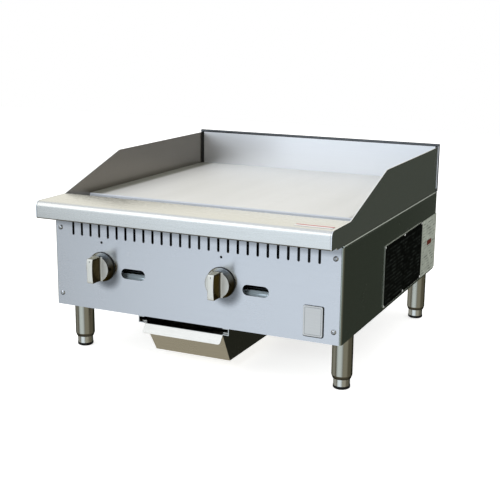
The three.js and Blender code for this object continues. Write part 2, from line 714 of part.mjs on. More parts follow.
place('front_panel', frontPanel(), stainless());
place('left_side_panel', sidePanel(true), darkSteel());
place('right_side_panel', sidePanel(false), darkSteel());
place('rear_panel', rearPanel(), stainless());
place('bottom_pan', bottomPan(), stainless());
place('front_ledge', frontLedge(), brightSteel());
place('left_splash', sideSplash(-1), stainless());
place('right_splash', sideSplash(1), stainless());
place('back_splash', backSplash(), stainless());
place('griddle_plate', griddlePlate(), brightSteel());
place('grease_trough', greaseTrough(), stainless());
place('grease_chute', greaseChute(), stainless());
place('heat_baffle', heatBaffle(), stainless());
place('gas_manifold', gasManifold(), stainless());
place('gas_inlet_coupling', inletCoupling(), brass(), INLET_X, BACK - 31, MANIFOLD_Z);
place('grease_tray', greaseTray(), stainless());
place('badge', badge(), brightSteel());
place('data_plate', sidePlate(PANEL_FRONT + 379, BODY_BOTTOM + 69, 272, 127, DATA_PLATE_THICKNESS),
  blackPlastic());
place('side_label', sidePlate(PANEL_FRONT + 579, BODY_BOTTOM + 67.5, 118, 128, 0.3),
  material(0xb9b6a6, 0.6, 0));
place('ledge_label', ledgeLabel(), material(0xe9e6e0, 0.5, 0));

for (const [word, side] of [['left', -1], ['right', 1]]) {
  place(`plate_angle_${word}`, plateAngle(side), castIron());
  place(`tray_rail_${word}`, trayRail(side), stainless());
}

['left', 'right'].forEach((word, i) => {
  const x = KNOB_X[i];
  place(`burner_${word}`, burner(), castIron(), x, 0, KNOB_Z);
  place(`air_shutter_${word}`, airShutter(), stainless(), x, BURNER_FRONT + 2, KNOB_Z);
  place(`gas_valve_${word}`, gasValve(), brass(), x, 0, KNOB_Z);
  place(`valve_stem_${word}`, valveStem(), brightSteel(), x, 0, KNOB_Z);
  place(`orifice_hood_${word}`, orificeHood(), brass(), x, VALVE_BACK + GAP, KNOB_Z);
  place(`knob_bezel_${word}`, knobBezel(), blackPlastic(), x, PANEL_FRONT - GAP, KNOB_Z);
  place(`knob_${word}`, knob(), brightSteel(), x, BEZEL_FRONT - GAP, KNOB_Z);
  place(`pilot_valve_${word}`, pilotValve(), brass(), x, 0, PILOT_Z);
  place(`pilot_tube_${word}`, pilotTube(), brightSteel(), x, 0, PILOT_Z);
  place(`pilot_burner_${word}`, pilotBurner(), brightSteel(), x + BURNER_SPREAD / 2, 0, PILOT_Z);
});

for (const [depthWord, y] of [['front', LEG_FRONT], ['back', LEG_BACK]]) {
  for (const [sideWord, side] of [['left', -1], ['right', 1]]) {
    const corner = `${depthWord}_${sideWord}`;
    place(`leg_${corner}`, leg(), stainless(), side * LEG_X, y, 0);
    place(`foot_insert_${corner}`, footInsert(), brightSteel(), side * LEG_X, y, 0);
    place(`foot_glide_${corner}`, footGlide(), blackPlastic(), side * LEG_X, y, 0);
  }
}

for (const [heightWord, z] of [['lower', SCREW_Z[0]], ['upper', SCREW_Z[1]]]) {
  for (const [sideWord, side] of [['left', -1], ['right', 1]]) {
    place(`panel_screw_${heightWord}_${sideWord}`, panelScrew(), brightSteel(),
      side * SCREW_X, PANEL_FRONT - GAP, z);
  }
}

export default griddle;
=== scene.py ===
"""A countertop flat top griddle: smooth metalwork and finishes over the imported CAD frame.

Metres, +Z up, +X to the right seen from the front, and the front faces -Y.
"""
import math

import bmesh
import bpy
from mathutils import Matrix, Vector

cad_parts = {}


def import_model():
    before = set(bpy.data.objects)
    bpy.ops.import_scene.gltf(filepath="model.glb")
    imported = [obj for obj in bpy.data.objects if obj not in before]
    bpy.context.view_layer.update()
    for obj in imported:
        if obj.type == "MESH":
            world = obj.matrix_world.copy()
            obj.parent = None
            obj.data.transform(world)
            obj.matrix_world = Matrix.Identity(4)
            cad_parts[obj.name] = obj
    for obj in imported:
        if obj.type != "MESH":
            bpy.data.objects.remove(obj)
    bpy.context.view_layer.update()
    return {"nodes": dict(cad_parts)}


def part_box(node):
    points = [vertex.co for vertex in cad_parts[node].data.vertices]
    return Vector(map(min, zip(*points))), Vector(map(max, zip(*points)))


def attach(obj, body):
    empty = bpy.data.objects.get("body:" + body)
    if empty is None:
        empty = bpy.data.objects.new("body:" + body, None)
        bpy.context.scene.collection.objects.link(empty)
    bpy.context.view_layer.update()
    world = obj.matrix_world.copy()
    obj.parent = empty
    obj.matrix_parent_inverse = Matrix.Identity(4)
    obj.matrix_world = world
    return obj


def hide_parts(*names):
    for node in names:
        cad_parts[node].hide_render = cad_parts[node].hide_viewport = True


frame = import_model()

MM = 0.001

# Sheet metal
SHEET = 1.5 * MM
GAP = 0.3 * MM
EDGE = 0.35 * MM
SIDE_BEND = 4 * MM
BULLNOSE = 11 * MM
HEM = 3 * MM
WEAR_RADIUS = 0.8 * MM
RETURN_INSET = 23 * MM

# How far the side panels' flanges turn in
FRONT_FLANGE = 25 * MM
REAR_FLANGE = 20 * MM
TOP_FLANGE = 18 * MM
BOTTOM_FLANGE = 45 * MM

# Front panel cut-outs
VENT_COUNT = 27
VENT_PITCH = 20 * MM
VENT_WIDTH = 5.2 * MM
VENT_HEIGHT = 30 * MM
VENT_LIFT = 146 * MM
SLOT_WIDTH = 53.5 * MM
SLOT_HEIGHT = 20.5 * MM
SLOT_OFFSET = 70.6 * MM
SLOT_DROP = 8.1 * MM
SHAFT_HOLE = 6 * MM
PILOT_HOLE = 2.6 * MM
PILOT_DEPTH = 7 * MM
SCREW_HOLE = 2.4 * MM
ROUND_END = 0.01 * MM

# Rear panel cut-outs
FLUE_COUNT = 8
FLUE_PITCH = 64 * MM
FLUE_WIDTH = 46 * MM
FLUE_HEIGHT = 12 * MM
FLUE_CORNER = 5.9 * MM
FLUE_DROP = 30 * MM
INLET_HOLE = 21 * MM
REAR_SCREW_COLUMNS = 4
REAR_SCREW_INSET = 16 * MM
REAR_SCREW_EDGE = 10 * MM
REAR_SCREW_SINK = 2 * MM

# Side splashes, measured back from the front panel
WING_START = 35 * MM
WING_PEAK = 241 * MM
WING_NOSE_DEPTH = 26 * MM
WING_FOOT_DEPTH = 30 * MM

# Rolled lip along the back splash
LIP_HEIGHT = 5.5 * MM

# Knob grip
GRIP_FOOT = 14.9 * MM
GRIP_TOP = 41.6 * MM
GRIP_HALF_LENGTH = 24 * MM

# Gas manifold
PIPE_RADIUS = 13.4 * MM
PIPE_INSET = 14.9 * MM
PIPE_BEND = 38 * MM

# Soft shadows on the front panel, under the ledge and under each knob
LEDGE_SHADE_REACH = 28 * MM
LEDGE_SHADE_CORE = 14 * MM
KNOB_SHADOW_SHIFT = 12 * MM
KNOB_SHADOW_DROP = 14 * MM
KNOB_SHADOW_REACH = 38 * MM
KNOB_SHADOW_CORE = 17 * MM

# Painted shade along the plate's sides, where the side splashes darken its reflections
PLATE_SHADE_REACH = 38 * MM
PLATE_SHADE_CORE = 20 * MM

# Camera and lamps
CAMERA_TARGET = (0.0163, -0.055, 0.2)
CAMERA_DISTANCE = 2.0756
CAMERA_AZIMUTH = math.radians(24.743)
CAMERA_ELEVATION = math.radians(13.27)
CAMERA_ROLL = math.radians(0.605)
CAMERA_LENS = 71.71
LAMP_TARGET = (0, 0, 0.2)

SIDES = (("left", -1), ("right", 1))
CORNERS = [f"{depth}_{word}" for depth in ("front", "back") for word, _ in SIDES]


class Span:
    """A CAD node's box at rest, with its middle."""

    def __init__(self, node):
        (self.x0, self.y0, self.z0), (self.x1, self.y1, self.z1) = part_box(node)
        self.x = (self.x0 + self.x1) / 2
        self.y = (self.y0 + self.y1) / 2
        self.z = (self.z0 + self.z1) / 2

    def front(self, radius):
        """Its rounded outline seen from the front."""
        return rounded_box(self.x, self.z, self.x1 - self.x0, self.z1 - self.z0, radius)

    def flank(self, radius, inset=0.0):
        """Its rounded outline seen from the side, drawn in by an inset."""
        length, height = self.y1 - self.y0 - 2 * inset, self.z1 - self.z0 - 2 * inset
        return rounded_box(self.y, self.z, length, height, radius)


PANEL = Span("front_panel")
LEDGE = Span("front_ledge")
PLATE = Span("griddle_plate")


# ---------------------------------------------------------------- finishes

class Nodes:
    """A shader node tree, with short ways to add and join its nodes."""

    def __init__(self, tree):
        self.tree = tree
        tree.nodes.clear()

    def add(self, kind, **settings):
        node = self.tree.nodes.new(kind)
        for key, value in settings.items():
            setattr(node, key, value)
        return node

    def feed(self, socket, value):
        if isinstance(value, bpy.types.NodeSocket):
            self.tree.links.new(value, socket)
        else:
            socket.default_value = value

    def math(self, operation, a, b=0.0):
        node = self.add("ShaderNodeMath", operation=operation)
        self.feed(node.inputs[0], a)
        self.feed(node.inputs[1], b)
        return node.outputs[0]

    def vector(self, operation, a, b=(0, 0, 0), output="Value"):
        node = self.add("ShaderNodeVectorMath", operation=operation)
        self.feed(node.inputs[0], a)
        self.feed(node.inputs[1], b)
        return node.outputs[output]

    def ramp(self, value, low, high, to_low=0.0, to_high=1.0):
        """Eases from to_low to to_high as the value goes from low to high."""
        node = self.add("ShaderNodeMapRange", interpolation_type="SMOOTHSTEP")
        limits = {"From Min": low, "From Max": high, "To Min": to_low, "To Max": to_high}
        for key, number in limits.items():
            node.inputs[key].default_value = number
        self.feed(node.inputs["Value"], value)
        return node.outputs["Result"]

    def mix(self, amount, a, b):
        node = self.add("ShaderNodeMix", data_type="RGBA")
        self.feed(node.inputs["Factor"], amount)
        self.feed(node.inputs[6], a)
        self.feed(node.inputs[7], b)
        return node.outputs[2]


class Finish(Nodes):
    """One procedural material, fed by object coordinates."""

    def __init__(self, name):
        self.material = bpy.data.materials.get(name) or bpy.data.materials.new(name)
        self.material.use_nodes = True
        super().__init__(self.material.node_tree)
        self.shader = self.add("ShaderNodeBsdfPrincipled")
        output = self.add("ShaderNodeOutputMaterial")
        self.feed(output.inputs["Surface"], self.shader.outputs[0])
        self.place = self.add("ShaderNodeTexCoord").outputs["Object"]

    def set(self, **inputs):
        for key, value in inputs.items():
            self.feed(self.shader.inputs[key.replace("_", " ")], value)

    def noise(self, scale, stretch=(1, 1, 1), detail=3.0, seed=0.0):
        """Noise with this many features per metre; stretch scales each axis."""
        mapping = self.add("ShaderNodeMapping")
        self.feed(mapping.inputs["Vector"], self.place)
        mapping.inputs["Location"].default_value = (seed, seed * 1.7, seed * 2.3)
        mapping.inputs["Scale"].default_value = stretch
        node = self.add("ShaderNodeTexNoise")
        self.feed(node.inputs["Vector"], mapping.outputs[0])
        node.inputs["Scale"].default_value = scale
        node.inputs["Detail"].default_value = detail
        return node.outputs["Fac"]

    def bump(self, height, depth, strength):
        node = self.add("ShaderNodeBump")
        node.inputs["Distance"].default_value = depth
        node.inputs["Strength"].default_value = strength
        self.feed(node.inputs["Height"], height)
        return node.outputs["Normal"]

    def split(self, vector):
        """The X, Y and Z outputs of a vector."""
        node = self.add("ShaderNodeSeparateXYZ")
        self.feed(node.inputs[0], vector)
        return node.outputs

    def facing(self, axis):
        """How far the surface faces along one axis, from -1 to 1."""
        return self.split(self.add("ShaderNodeNewGeometry").outputs["Normal"])[axis]

    def edges(self, radius):
        """0 on flat faces, rising to 1 where a face turns within this radius."""
        soft = self.add("ShaderNodeBevel", samples=4)
        soft.inputs["Radius"].default_value = radius
        flat = self.add("ShaderNodeNewGeometry").outputs["Normal"]
        return self.ramp(self.vector("DOT_PRODUCT", soft.outputs[0], flat), 0.98, 0.86)


def shade(colour, factor=1.0):
    return (*[channel * factor for channel in colour], 1.0)


# Brushed steel: features per metre, and how much a texture is squeezed along its grain
FINE_GRAIN = 2400
COARSE_GRAIN = 420
CLOUDS = 7
SMEARS = 26
SQUEEZE = 0.03
GRAINS = {"X": (SQUEEZE, 1, 1), "Y": (1, SQUEEZE, 1), "Z": (1, 1, SQUEEZE)}
DIRECTIONS = {"X": (1, 0, 0), "Y": (0, 1, 0), "Z": (0, 0, 1)}
WORN_STEEL = (0.95, 0.95, 0.93, 1)
# Painted shade for faces turned from the light: its dull brown colour and how strongly it is laid on
SIDE_SHADE_BROWN = (0.175, 0.145, 0.108, 1)
SIDE_SHADE_STRENGTH = 0.86


def draw_out(finish, axis, amount):
    """Draws reflections out along an axis, as brushing across it does."""
    turn = finish.add("ShaderNodeVectorTransform", vector_type="VECTOR", convert_from="OBJECT",
                      convert_to="WORLD")
    turn.inputs[0].default_value = DIRECTIONS[axis]
    finish.set(Tangent=turn.outputs[0], Anisotropic=amount)


def painted_side_shade(finish, tone, sides):
    """Paints shade in dull brown on the faces that look left, right or both ways along X."""
    sideways_on = finish.facing("X")
    if sides == "both":
        sideways_on = finish.math("ABSOLUTE", sideways_on)
    low, high = (-0.3, -0.7) if sides == "left" else (0.3, 0.7)
    amount = finish.math("MULTIPLY", finish.ramp(sideways_on, low, high), SIDE_SHADE_STRENGTH)
    return finish.mix(amount, tone, SIDE_SHADE_BROWN)


def painted_underside_shade(finish, tone, colour, amount):
    """Paints shade on the faces that look down."""
    below = finish.math("MULTIPLY", finish.ramp(finish.facing("Z"), -0.05, -0.4), amount)
    return finish.mix(below, tone, shade(colour, 0.1))


def painted_rim_shade(finish, tone, colour, rim):
    """Paints shade on the faces that turn away and, even more, those that look down, as on a polished
    tube.
    """
    turned_away = finish.ramp(finish.add("ShaderNodeLayerWeight").outputs["Facing"], 0.45, 0.95)
    under = finish.ramp(finish.facing("Z"), -0.05, -0.5)
    amount = finish.math("MULTIPLY", finish.math("MAXIMUM", turned_away, under), rim)
    finish.set(Specular_Tint=shade(colour, 0.25))
    tone = finish.mix(amount, tone, shade(colour, 0.1))
    return painted_underside_shade(finish, tone, colour, under)


def painted_top_shade(finish, tone):
    """Paints shade, near black, on the faces that look up, as on a pipe that gets its light from below."""
    upward = finish.facing("Z")
    top_shade_fade = finish.ramp(upward, 0.99, 0.94, 0.6, 1.0)
    amount = finish.math("MULTIPLY", finish.ramp(upward, 0.72, 0.84), top_shade_fade)
    return finish.mix(amount, tone, (0.005, 0.006, 0.005, 1))


def panel_shade(finish, tone):
    """Darkens the panel just below the ledge and the knobs, which keep the light off it."""
    near = finish.ramp(finish.split(finish.place)["Z"], LEDGE.z0 - LEDGE_SHADE_REACH,
                       LEDGE.z0 - LEDGE_SHADE_CORE)
    dark = finish.math("MULTIPLY", near, 0.5)
    for word, _ in SIDES:
        knob = Span(f"knob_{word}")
        middle = (knob.x + KNOB_SHADOW_SHIFT, PANEL.y0, knob.z - KNOB_SHADOW_DROP)
        away = finish.vector("DISTANCE", finish.place, middle)
        shadow = finish.math("MULTIPLY", finish.ramp(away, KNOB_SHADOW_REACH, KNOB_SHADOW_CORE), 0.8)
        dark = finish.math("MAXIMUM", dark, shadow)
    return finish.mix(dark, tone, (0.1, 0.105, 0.11, 1))


def brushed(name, colour, roughness, grain="X", streak=0.02, wear=0.25, drawn="Z", stretch=0.6,
            metal=1.0, rim=0.0, under=0.0, side_shade=None, shaded=False, top_shade=False, relief=0.15):
    """Brushed sheet steel: long grain along one axis, faint clouds, wiped smears and worn edges.

    Reflections are drawn out along the drawn axis. The faces that the side-shade option names, "left",
    "right" or "both" along X, get painted shade in dull brown. The rim, under and top-shade options paint
    shade on faces that turn away, look down and look up; the shaded option paints the panel's soft
    shadows. The relief sets how deep and uneven the grain is.
    """
    finish = Finish(name)
    draw_out(finish, drawn, stretch)
    fine = finish.noise(FINE_GRAIN, GRAINS[grain], 2.0)
    coarse = finish.noise(COARSE_GRAIN, GRAINS[grain], 4.0, seed=3.1)
    clouds = finish.noise(CLOUDS, detail=3.0, seed=7.7)
    smears = finish.noise(SMEARS, (1, 0.6, 0.4), 4.0, seed=11.3)
    tone = finish.mix(finish.ramp(coarse, 0.3, 0.7), shade(colour, 1 - streak), shade(colour, 1 + streak))
    cloudy = finish.math("MULTIPLY", finish.ramp(clouds, 0.35, 0.7), 0.08)
    tone = finish.mix(cloudy, tone, shade(colour, 0.94))
    tone = finish.mix(finish.math("MULTIPLY", finish.edges(WEAR_RADIUS), wear), tone, WORN_STEEL)
    if side_shade:
        tone = painted_side_shade(finish, tone, side_shade)
    if rim:
        tone = painted_rim_shade(finish, tone, colour, rim)
    if under:
        tone = painted_underside_shade(finish, tone, colour, under)
    if shaded:
        tone = panel_shade(finish, tone)
    if top_shade:
        tone = painted_top_shade(finish, tone)
    swing = 0.35 * relief
    gloss = finish.math("ADD", finish.ramp(fine, 0.25, 0.75, roughness - swing, roughness + swing),
                        finish.ramp(smears, 0.45, 0.75, 0.0, swing / 2))
    height = finish.math("ADD", fine, finish.math("MULTIPLY", coarse, 0.4))
    finish.set(Base_Color=tone, Roughness=gloss, Metallic=metal,
               Normal=finish.bump(height, 0.008 * MM, relief))
    return finish.material


def turned_metal_with_painted_light(name, face, side, top, roughness):
    """Satin metal with painted light and shade: a light front face, darker, glossier flanks and a paler
    upper side.
    """
    finish = Finish(name)
    forward_on = finish.ramp(finish.math("MULTIPLY", finish.facing("Y"), -1.0), 0.45, 0.97)
    rising = finish.ramp(finish.facing("Z"), 0.1, 0.8)
    satin = finish.noise(1600, detail=2.0)
    rubbed = finish.ramp(finish.noise(60, detail=3.0, seed=3.0), 0.4, 0.8)
    tone = finish.mix(rising, shade(side), shade(top))
    tone = finish.mix(forward_on, tone, shade(face))
    tone = finish.mix(finish.math("MULTIPLY", rubbed, 0.12), tone, shade(side, 0.8))
    tone = finish.mix(finish.math("MULTIPLY", finish.edges(0.6 * MM), 0.3), tone, shade(face, 1.15))
    gloss = finish.math("ADD", finish.ramp(satin, 0.3, 0.7, roughness - 0.03, roughness + 0.03),
                        finish.math("MULTIPLY", forward_on, 0.16))
    metal = finish.math("SUBTRACT", 1.0, finish.math("MULTIPLY", forward_on, 0.55))
    finish.set(Base_Color=tone, Roughness=gloss, Metallic=metal, Specular_Tint=shade(side, 6),
               Normal=finish.bump(satin, 0.01 * MM, 0.3))
    return finish.material


def ground_plate():
    """The thick cooking plate: cross-ground top with painted shade along both sides, and pale milled
    edges.
    """
    finish = Finish("plate_steel")
    offset = finish.math("SUBTRACT", finish.split(finish.place)["X"], PLATE.x)
    half = PLATE.x1 - PLATE.x
    plate_side_shade = finish.ramp(finish.math("ABSOLUTE", offset), half - PLATE_SHADE_REACH, half - PLATE_SHADE_CORE)
    passes = finish.noise(9, (1.0, 0.16, 1), 3.0)
    grain = finish.noise(1500, (1, 0.02, 1), 3.0, seed=2.0)
    cross = finish.noise(900, (0.03, 1, 1), 2.0, seed=5.0)
    scratch = finish.ramp(finish.noise(160, (0.05, 1.2, 1), 1.0, seed=9.0), 0.70, 0.76)
    fine = finish.math("MULTIPLY", finish.ramp(grain, 0.35, 0.65), 0.15)
    milled = finish.ramp(finish.facing("Z"), 0.97, 0.85)
    tone = finish.mix(finish.ramp(passes, 0.3, 0.7), (0.84, 0.835, 0.80, 1), (0.92, 0.915, 0.885, 1))
    tone = finish.mix(fine, tone, (0.74, 0.73, 0.70, 1))
    tone = finish.mix(finish.math("MULTIPLY", scratch, 0.2), tone, (0.55, 0.54, 0.52, 1))
    # Painted shade along both sides of the plate
    tone = finish.mix(plate_side_shade, tone, (0.31, 0.305, 0.255, 1))
    # Milled edges: pale steel, and their blue tint is a painted reflection
    tone = finish.mix(milled, tone, (0.67, 0.71, 0.77, 1))
    gloss = finish.ramp(finish.math("ADD", passes, cross), 0.6, 1.4, 0.42, 0.52)
    metal = finish.math("SUBTRACT", 0.3, finish.math("MULTIPLY", milled, 0.3))
    finish.set(Base_Color=tone, Roughness=gloss, Metallic=metal,
               Normal=finish.bump(finish.math("ADD", grain, cross), 0.02 * MM, 0.4))
    return finish.material


def moulded(name, colour, roughness=0.5):
    """Dark moulded or sprayed surface: fine pebble grain, dusty clouds and rubbed edges."""
    finish = Finish(name)
    pebble = finish.noise(900, detail=2.0)
    dust = finish.noise(35, detail=4.0, seed=4.0)
    tone = finish.mix(finish.ramp(dust, 0.45, 0.8), shade(colour), shade(colour, 1.8))
    tone = finish.mix(finish.math("MULTIPLY", finish.edges(0.5 * MM), 0.35), tone, shade(colour, 5))
    finish.set(Base_Color=tone, Roughness=finish.ramp(dust, 0.3, 0.7, roughness - 0.08, roughness + 0.12),
               Specular_IOR_Level=0.3, Normal=finish.bump(pebble, 0.05 * MM, 0.4))
    return finish.material


def cast(name, colour, roughness, metal, rust=0.3):
    """Rough iron or brass: grainy skin with warm heat stains."""
    finish = Finish(name)
    skin = finish.noise(700, detail=5.0)
    stains = finish.ramp(finish.noise(30, detail=5.0, seed=6.0), 0.5, 0.75)
    tone = finish.mix(finish.ramp(skin, 0.3, 0.7), shade(colour, 0.8), shade(colour, 1.2))
    tone = finish.mix(finish.math("MULTIPLY", stains, rust), tone, (0.16, 0.07, 0.03, 1))
    finish.set(Base_Color=tone, Roughness=finish.ramp(skin, 0.3, 0.7, roughness, roughness + 0.15),
               Metallic=metal, Normal=finish.bump(skin, 0.15 * MM, 0.6))
    return finish.material


def bands(finish, value, pitch, width):
    """1 on bands of this width that repeat every pitch along value."""
    cycle = finish.math("FRACT", finish.math("DIVIDE", value, pitch))
    return finish.math("LESS_THAN", cycle, width / pitch)


def inside(finish, value, low, high):
    above = finish.math("GREATER_THAN", value, low)
    return finish.math("MULTIPLY", above, finish.math("LESS_THAN", value, high))


def dash_marks(finish, span, pitch, width, margin, columns):
    """Rows of plain dashes of uneven length, in columns, inside a margin."""
    axes = finish.split(finish.place)
    across, up = axes["Y"], axes["Z"]
    rows = bands(finish, finish.math("SUBTRACT", up, span.z0 + margin), pitch, width)
    column = (span.y1 - span.y0 - 2 * margin) / columns
    gutter = 6 * MM
    start = span.y0 + margin - gutter / 2
    gutters = bands(finish, finish.math("SUBTRACT", across, start), column, gutter)
    clear = finish.math("SUBTRACT", 1.0, gutters)
    field = finish.math("MULTIPLY", inside(finish, across, span.y0 + margin, span.y1 - margin),
                        inside(finish, up, span.z0 + margin, span.z1 - margin))
    dashes = finish.ramp(finish.noise(70, (1, 0.5, 2.2), 3.0, seed=5.0), 0.44, 0.5)
    worn = finish.ramp(finish.noise(40, detail=3.0), 0.35, 0.65, 0.2, 1.0)
    marks = rows
    for mask in (clear, field, dashes, worn):
        marks = finish.math("MULTIPLY", marks, mask)
    return marks


def printed(name, span, ground, ink, roughness, **marks):
    """A plate on the right-hand side with rows of plain dashes and no lettering."""
    finish = Finish(name)
    fibre = finish.noise(60, (1, 1, 1), 5.0, seed=8.0)
    tone = finish.mix(finish.ramp(fibre, 0.35, 0.7), shade(ground, 0.9), shade(ground, 1.15))
    tone = finish.mix(dash_marks(finish, span, **marks), tone, shade(ink))
    finish.set(Base_Color=tone, Roughness=finish.ramp(fibre, 0.3, 0.7, roughness, roughness + 0.12),
               Specular_IOR_Level=0.03, Normal=finish.bump(finish.noise(1300, detail=2.0), 0.02 * MM, 0.4))
    return finish


def data_plate_finish():
    finish = printed("plate_black", Span("data_plate"), (0.0012, 0.0018, 0.0014),
                     (0.024, 0.029, 0.025), 0.5, pitch=8 * MM, width=3.6 * MM, margin=8 * MM, columns=2)
    return finish.material


def side_label_finish():
    """Pale paper with dashes and one plain coloured block."""
    span = Span("side_label")
    finish = printed("label_pale", span, (0.40, 0.43, 0.365), (0.15, 0.165, 0.14), 0.55,
                     pitch=7 * MM, width=2.6 * MM, margin=5 * MM, columns=1)
    axes = finish.split(finish.place)
    block = finish.math("MULTIPLY", inside(finish, axes["Y"], span.y - 16 * MM, span.y + 22 * MM),
                        inside(finish, axes["Z"], span.z + 1 * MM, span.z + 12 * MM))
    before = finish.shader.inputs["Base Color"].links[0].from_socket
    finish.set(Base_Color=finish.mix(block, before, (0.13, 0.025, 0.015, 1)))
    return finish.material


def ledge_label_finish():
    """A white strip with a plain red line along its back edge."""
    span = Span("ledge_label")
    finish = Finish("label_white")
    fibre = finish.noise(90, detail=4.0)
    tone = finish.mix(fibre, (0.90, 0.88, 0.85, 1), (0.97, 0.96, 0.94, 1))
    red = inside(finish, finish.split(finish.place)["Y"], span.y1 - 8 * MM, span.y1 - 2 * MM)
    tone = finish.mix(red, tone, (0.55, 0.09, 0.07, 1))
    finish.set(Base_Color=tone, Roughness=finish.ramp(fibre, 0.3, 0.7, 0.4, 0.55))
    return finish.material


STAINLESS = (0.72, 0.725, 0.735)
WING_GLOSS = 0.26
# Finishes that stand in for a material slot of another name
casing_steel = brushed("casing_steel", STAINLESS, 0.25, streak=0.01, stretch=0.85, shaded=True,
                       relief=0.06)
splash_steel = brushed("splash_steel", (0.89, 0.90, 0.92), 0.28, streak=0.005, stretch=0.8, metal=0.85,
                       relief=0.01)
# Near-black steel for the back splash's lip and end caps: painted shade along its top bend and ends
lip_steel = brushed("lip_steel", (0.12, 0.125, 0.13), 0.3, wear=0.0, stretch=0.0, rim=0.8)
# The two side splashes are one steel given two colours, the right one lighter as painted light; each also
# gets painted shade on its inner face
left_wing_steel = brushed("left_wing_steel", (0.74, 0.79, 0.82), WING_GLOSS, grain="Y", stretch=0.3,
                          side_shade="right", relief=0.025)
right_wing_steel = brushed("right_wing_steel", (1.0, 1.0, 1.0), WING_GLOSS, grain="Y", stretch=0.3,
                           side_shade="left", relief=0.025)
# Steel of the side panels and the data plate's rim, coloured dark: painted shade for the sides the light
# misses
side_steel = brushed("side_steel", (0.46, 0.50, 0.44), 0.26, grain="Y", stretch=0.2, relief=0.03)
rear_steel = brushed("rear_steel", (0.82, 0.83, 0.82), 0.32, stretch=0.4, metal=0.75, relief=0.1)
# The ledge's underside and lower hem get painted shade
ledge_steel = brushed("ledge_steel", (0.86, 0.855, 0.81), 0.27, drawn="Y", stretch=0.5, under=0.9)
# Legs and foot inserts get painted shade on faces that turn away and look down
leg_steel = brushed("leg_steel", (0.55, 0.54, 0.455), 0.20, grain="Z", wear=0.15, rim=0.9)
insert_steel = brushed("insert_steel", (0.80, 0.80, 0.73), 0.22, grain="Z", wear=0.15, rim=0.7)
# The tray's left and right flanks get painted shade in dull brown
tray_steel = brushed("tray_steel", (0.65, 0.645, 0.61), 0.22, stretch=0.0, side_shade="both")
hidden_steel = brushed("hidden_steel", (0.20, 0.21, 0.205), 0.5, wear=0.1)
# The knobs: painted light on the front face and upper side, painted shade on the flanks
knob_metal = turned_metal_with_painted_light("knob_metal", (0.72, 0.73, 0.69), (0.085, 0.07, 0.042), (0.62, 0.68, 0.72), 0.20)
# Screw heads get painted shade on faces that turn away and look down
screw_steel = brushed("screw_steel", (0.84, 0.86, 0.88), 0.16, grain="Z", stretch=0.0, rim=0.9)
rivet_steel = brushed("rivet_steel", (0.86, 0.87, 0.85), 0.3, stretch=0.0, metal=0.2)
badge_metal = brushed("badge_metal", (0.75, 0.73, 0.69), 0.36)
# The pipe's upper side gets painted shade, near black
pipe_iron = brushed("pipe_iron", (0.78, 0.92, 1.0), 0.16, stretch=0.0, metal=0.25, top_shade=True)
burner_iron = cast("burner_iron", (0.05, 0.05, 0.052), 0.6, 0.5)
brass_fittings = cast("brass_fittings", (0.60, 0.46, 0.20), 0.3, 1.0, rust=0.15)
black_plastic = moulded("black_plastic", (0.006, 0.006, 0.005))
glide_plastic = moulded("glide_plastic", (0.004, 0.004, 0.004), 0.6)
plate_steel = ground_plate()
plate_black = data_plate_finish()
label_pale = side_label_finish()
label_white = ledge_label_finish()


# ---------------------------------------------------------------- mesh tools

# A place turns (u, v, w) into a point: u and v lie in the drawing, and w runs along its depth.
AXES = {
    "X": lambda u, v, w: Vector((w, u, v)),
    "Y": lambda u, v, w: Vector((u, w, v)),
    "Z": lambda u, v, w: Vector((u, v, w)),
}


def upright(x, y):
    return lambda u, v, w: Vector((x + u, y + v, w))


def forward(x, y, z):
    """Depth runs out of the front panel, towards -Y."""
    return lambda u, v, w: Vector((x + u, y - w, z + v))


def backward(x, y, z):
    return lambda u, v, w: Vector((x + u, y + w, z + v))


def rightward(x, y, z):
    return lambda u, v, w: Vector((x + w, y + u, z + v))


def bend(into, out, corner, radius, steps):
    """(point, left-hand normal) pairs round one corner."""
    turn = math.atan2(into.x * out.y - into.y * out.x, into.dot(out))
    hand = math.copysign(1, turn)
    start = corner - into * radius * math.tan(abs(turn) / 2)
    side = Vector((-into.y, into.x)) * hand
    spokes = [Matrix.Rotation(turn * step / steps, 2) @ -side for step in range(steps + 1)]
    return [(start + (side + spoke) * radius, spoke * -hand) for spoke in spokes]


def rounded_path(corners, closed, steps=8):
    """(point, left-hand normal) pairs along (u, v, radius) corners, each bent to its radius."""
    path = []
    for i, (u, v, radius) in enumerate(corners):
        here = Vector((u, v))
        into = out = None
        if closed or i > 0:
            into = (here - Vector(corners[i - 1][:2])).normalized()
        if closed or i < len(corners) - 1:
            out = (Vector(corners[(i + 1) % len(corners)][:2]) - here).normalized()
        if into is None or out is None or radius == 0:
            along = ((out if into is None else into) + (into if out is None else out)).normalized()
            path.append((here, Vector((-along.y, along.x))))
        else:
            path += bend(into, out, here, radius, steps)
    return path


def outline_of(corners, steps=8):
    return [point for point, _ in rounded_path(corners, True, steps)]


def bent_sheet(corners, thickness=SHEET):
    """The closed outline of a bent sheet; the sheet lies to the left of its path."""
    path = rounded_path(corners, False)
    other = [point + normal * thickness for point, normal in path]
    return [point for point, _ in path] + other[::-1]


def rounded_box(u, v, width, height, radius, steps=8):
    a, b = width / 2, height / 2
    return outline_of([(u - a, v - b, radius), (u + a, v - b, radius), (u + a, v + b, radius),
                       (u - a, v + b, radius)], steps)


def circle(u, v, radius, segments=32):
    turn = 2 * math.pi / segments
    angles = [k * turn for k in range(segments)]
    return [Vector((u + radius * math.cos(angle), v + radius * math.sin(angle))) for angle in angles]


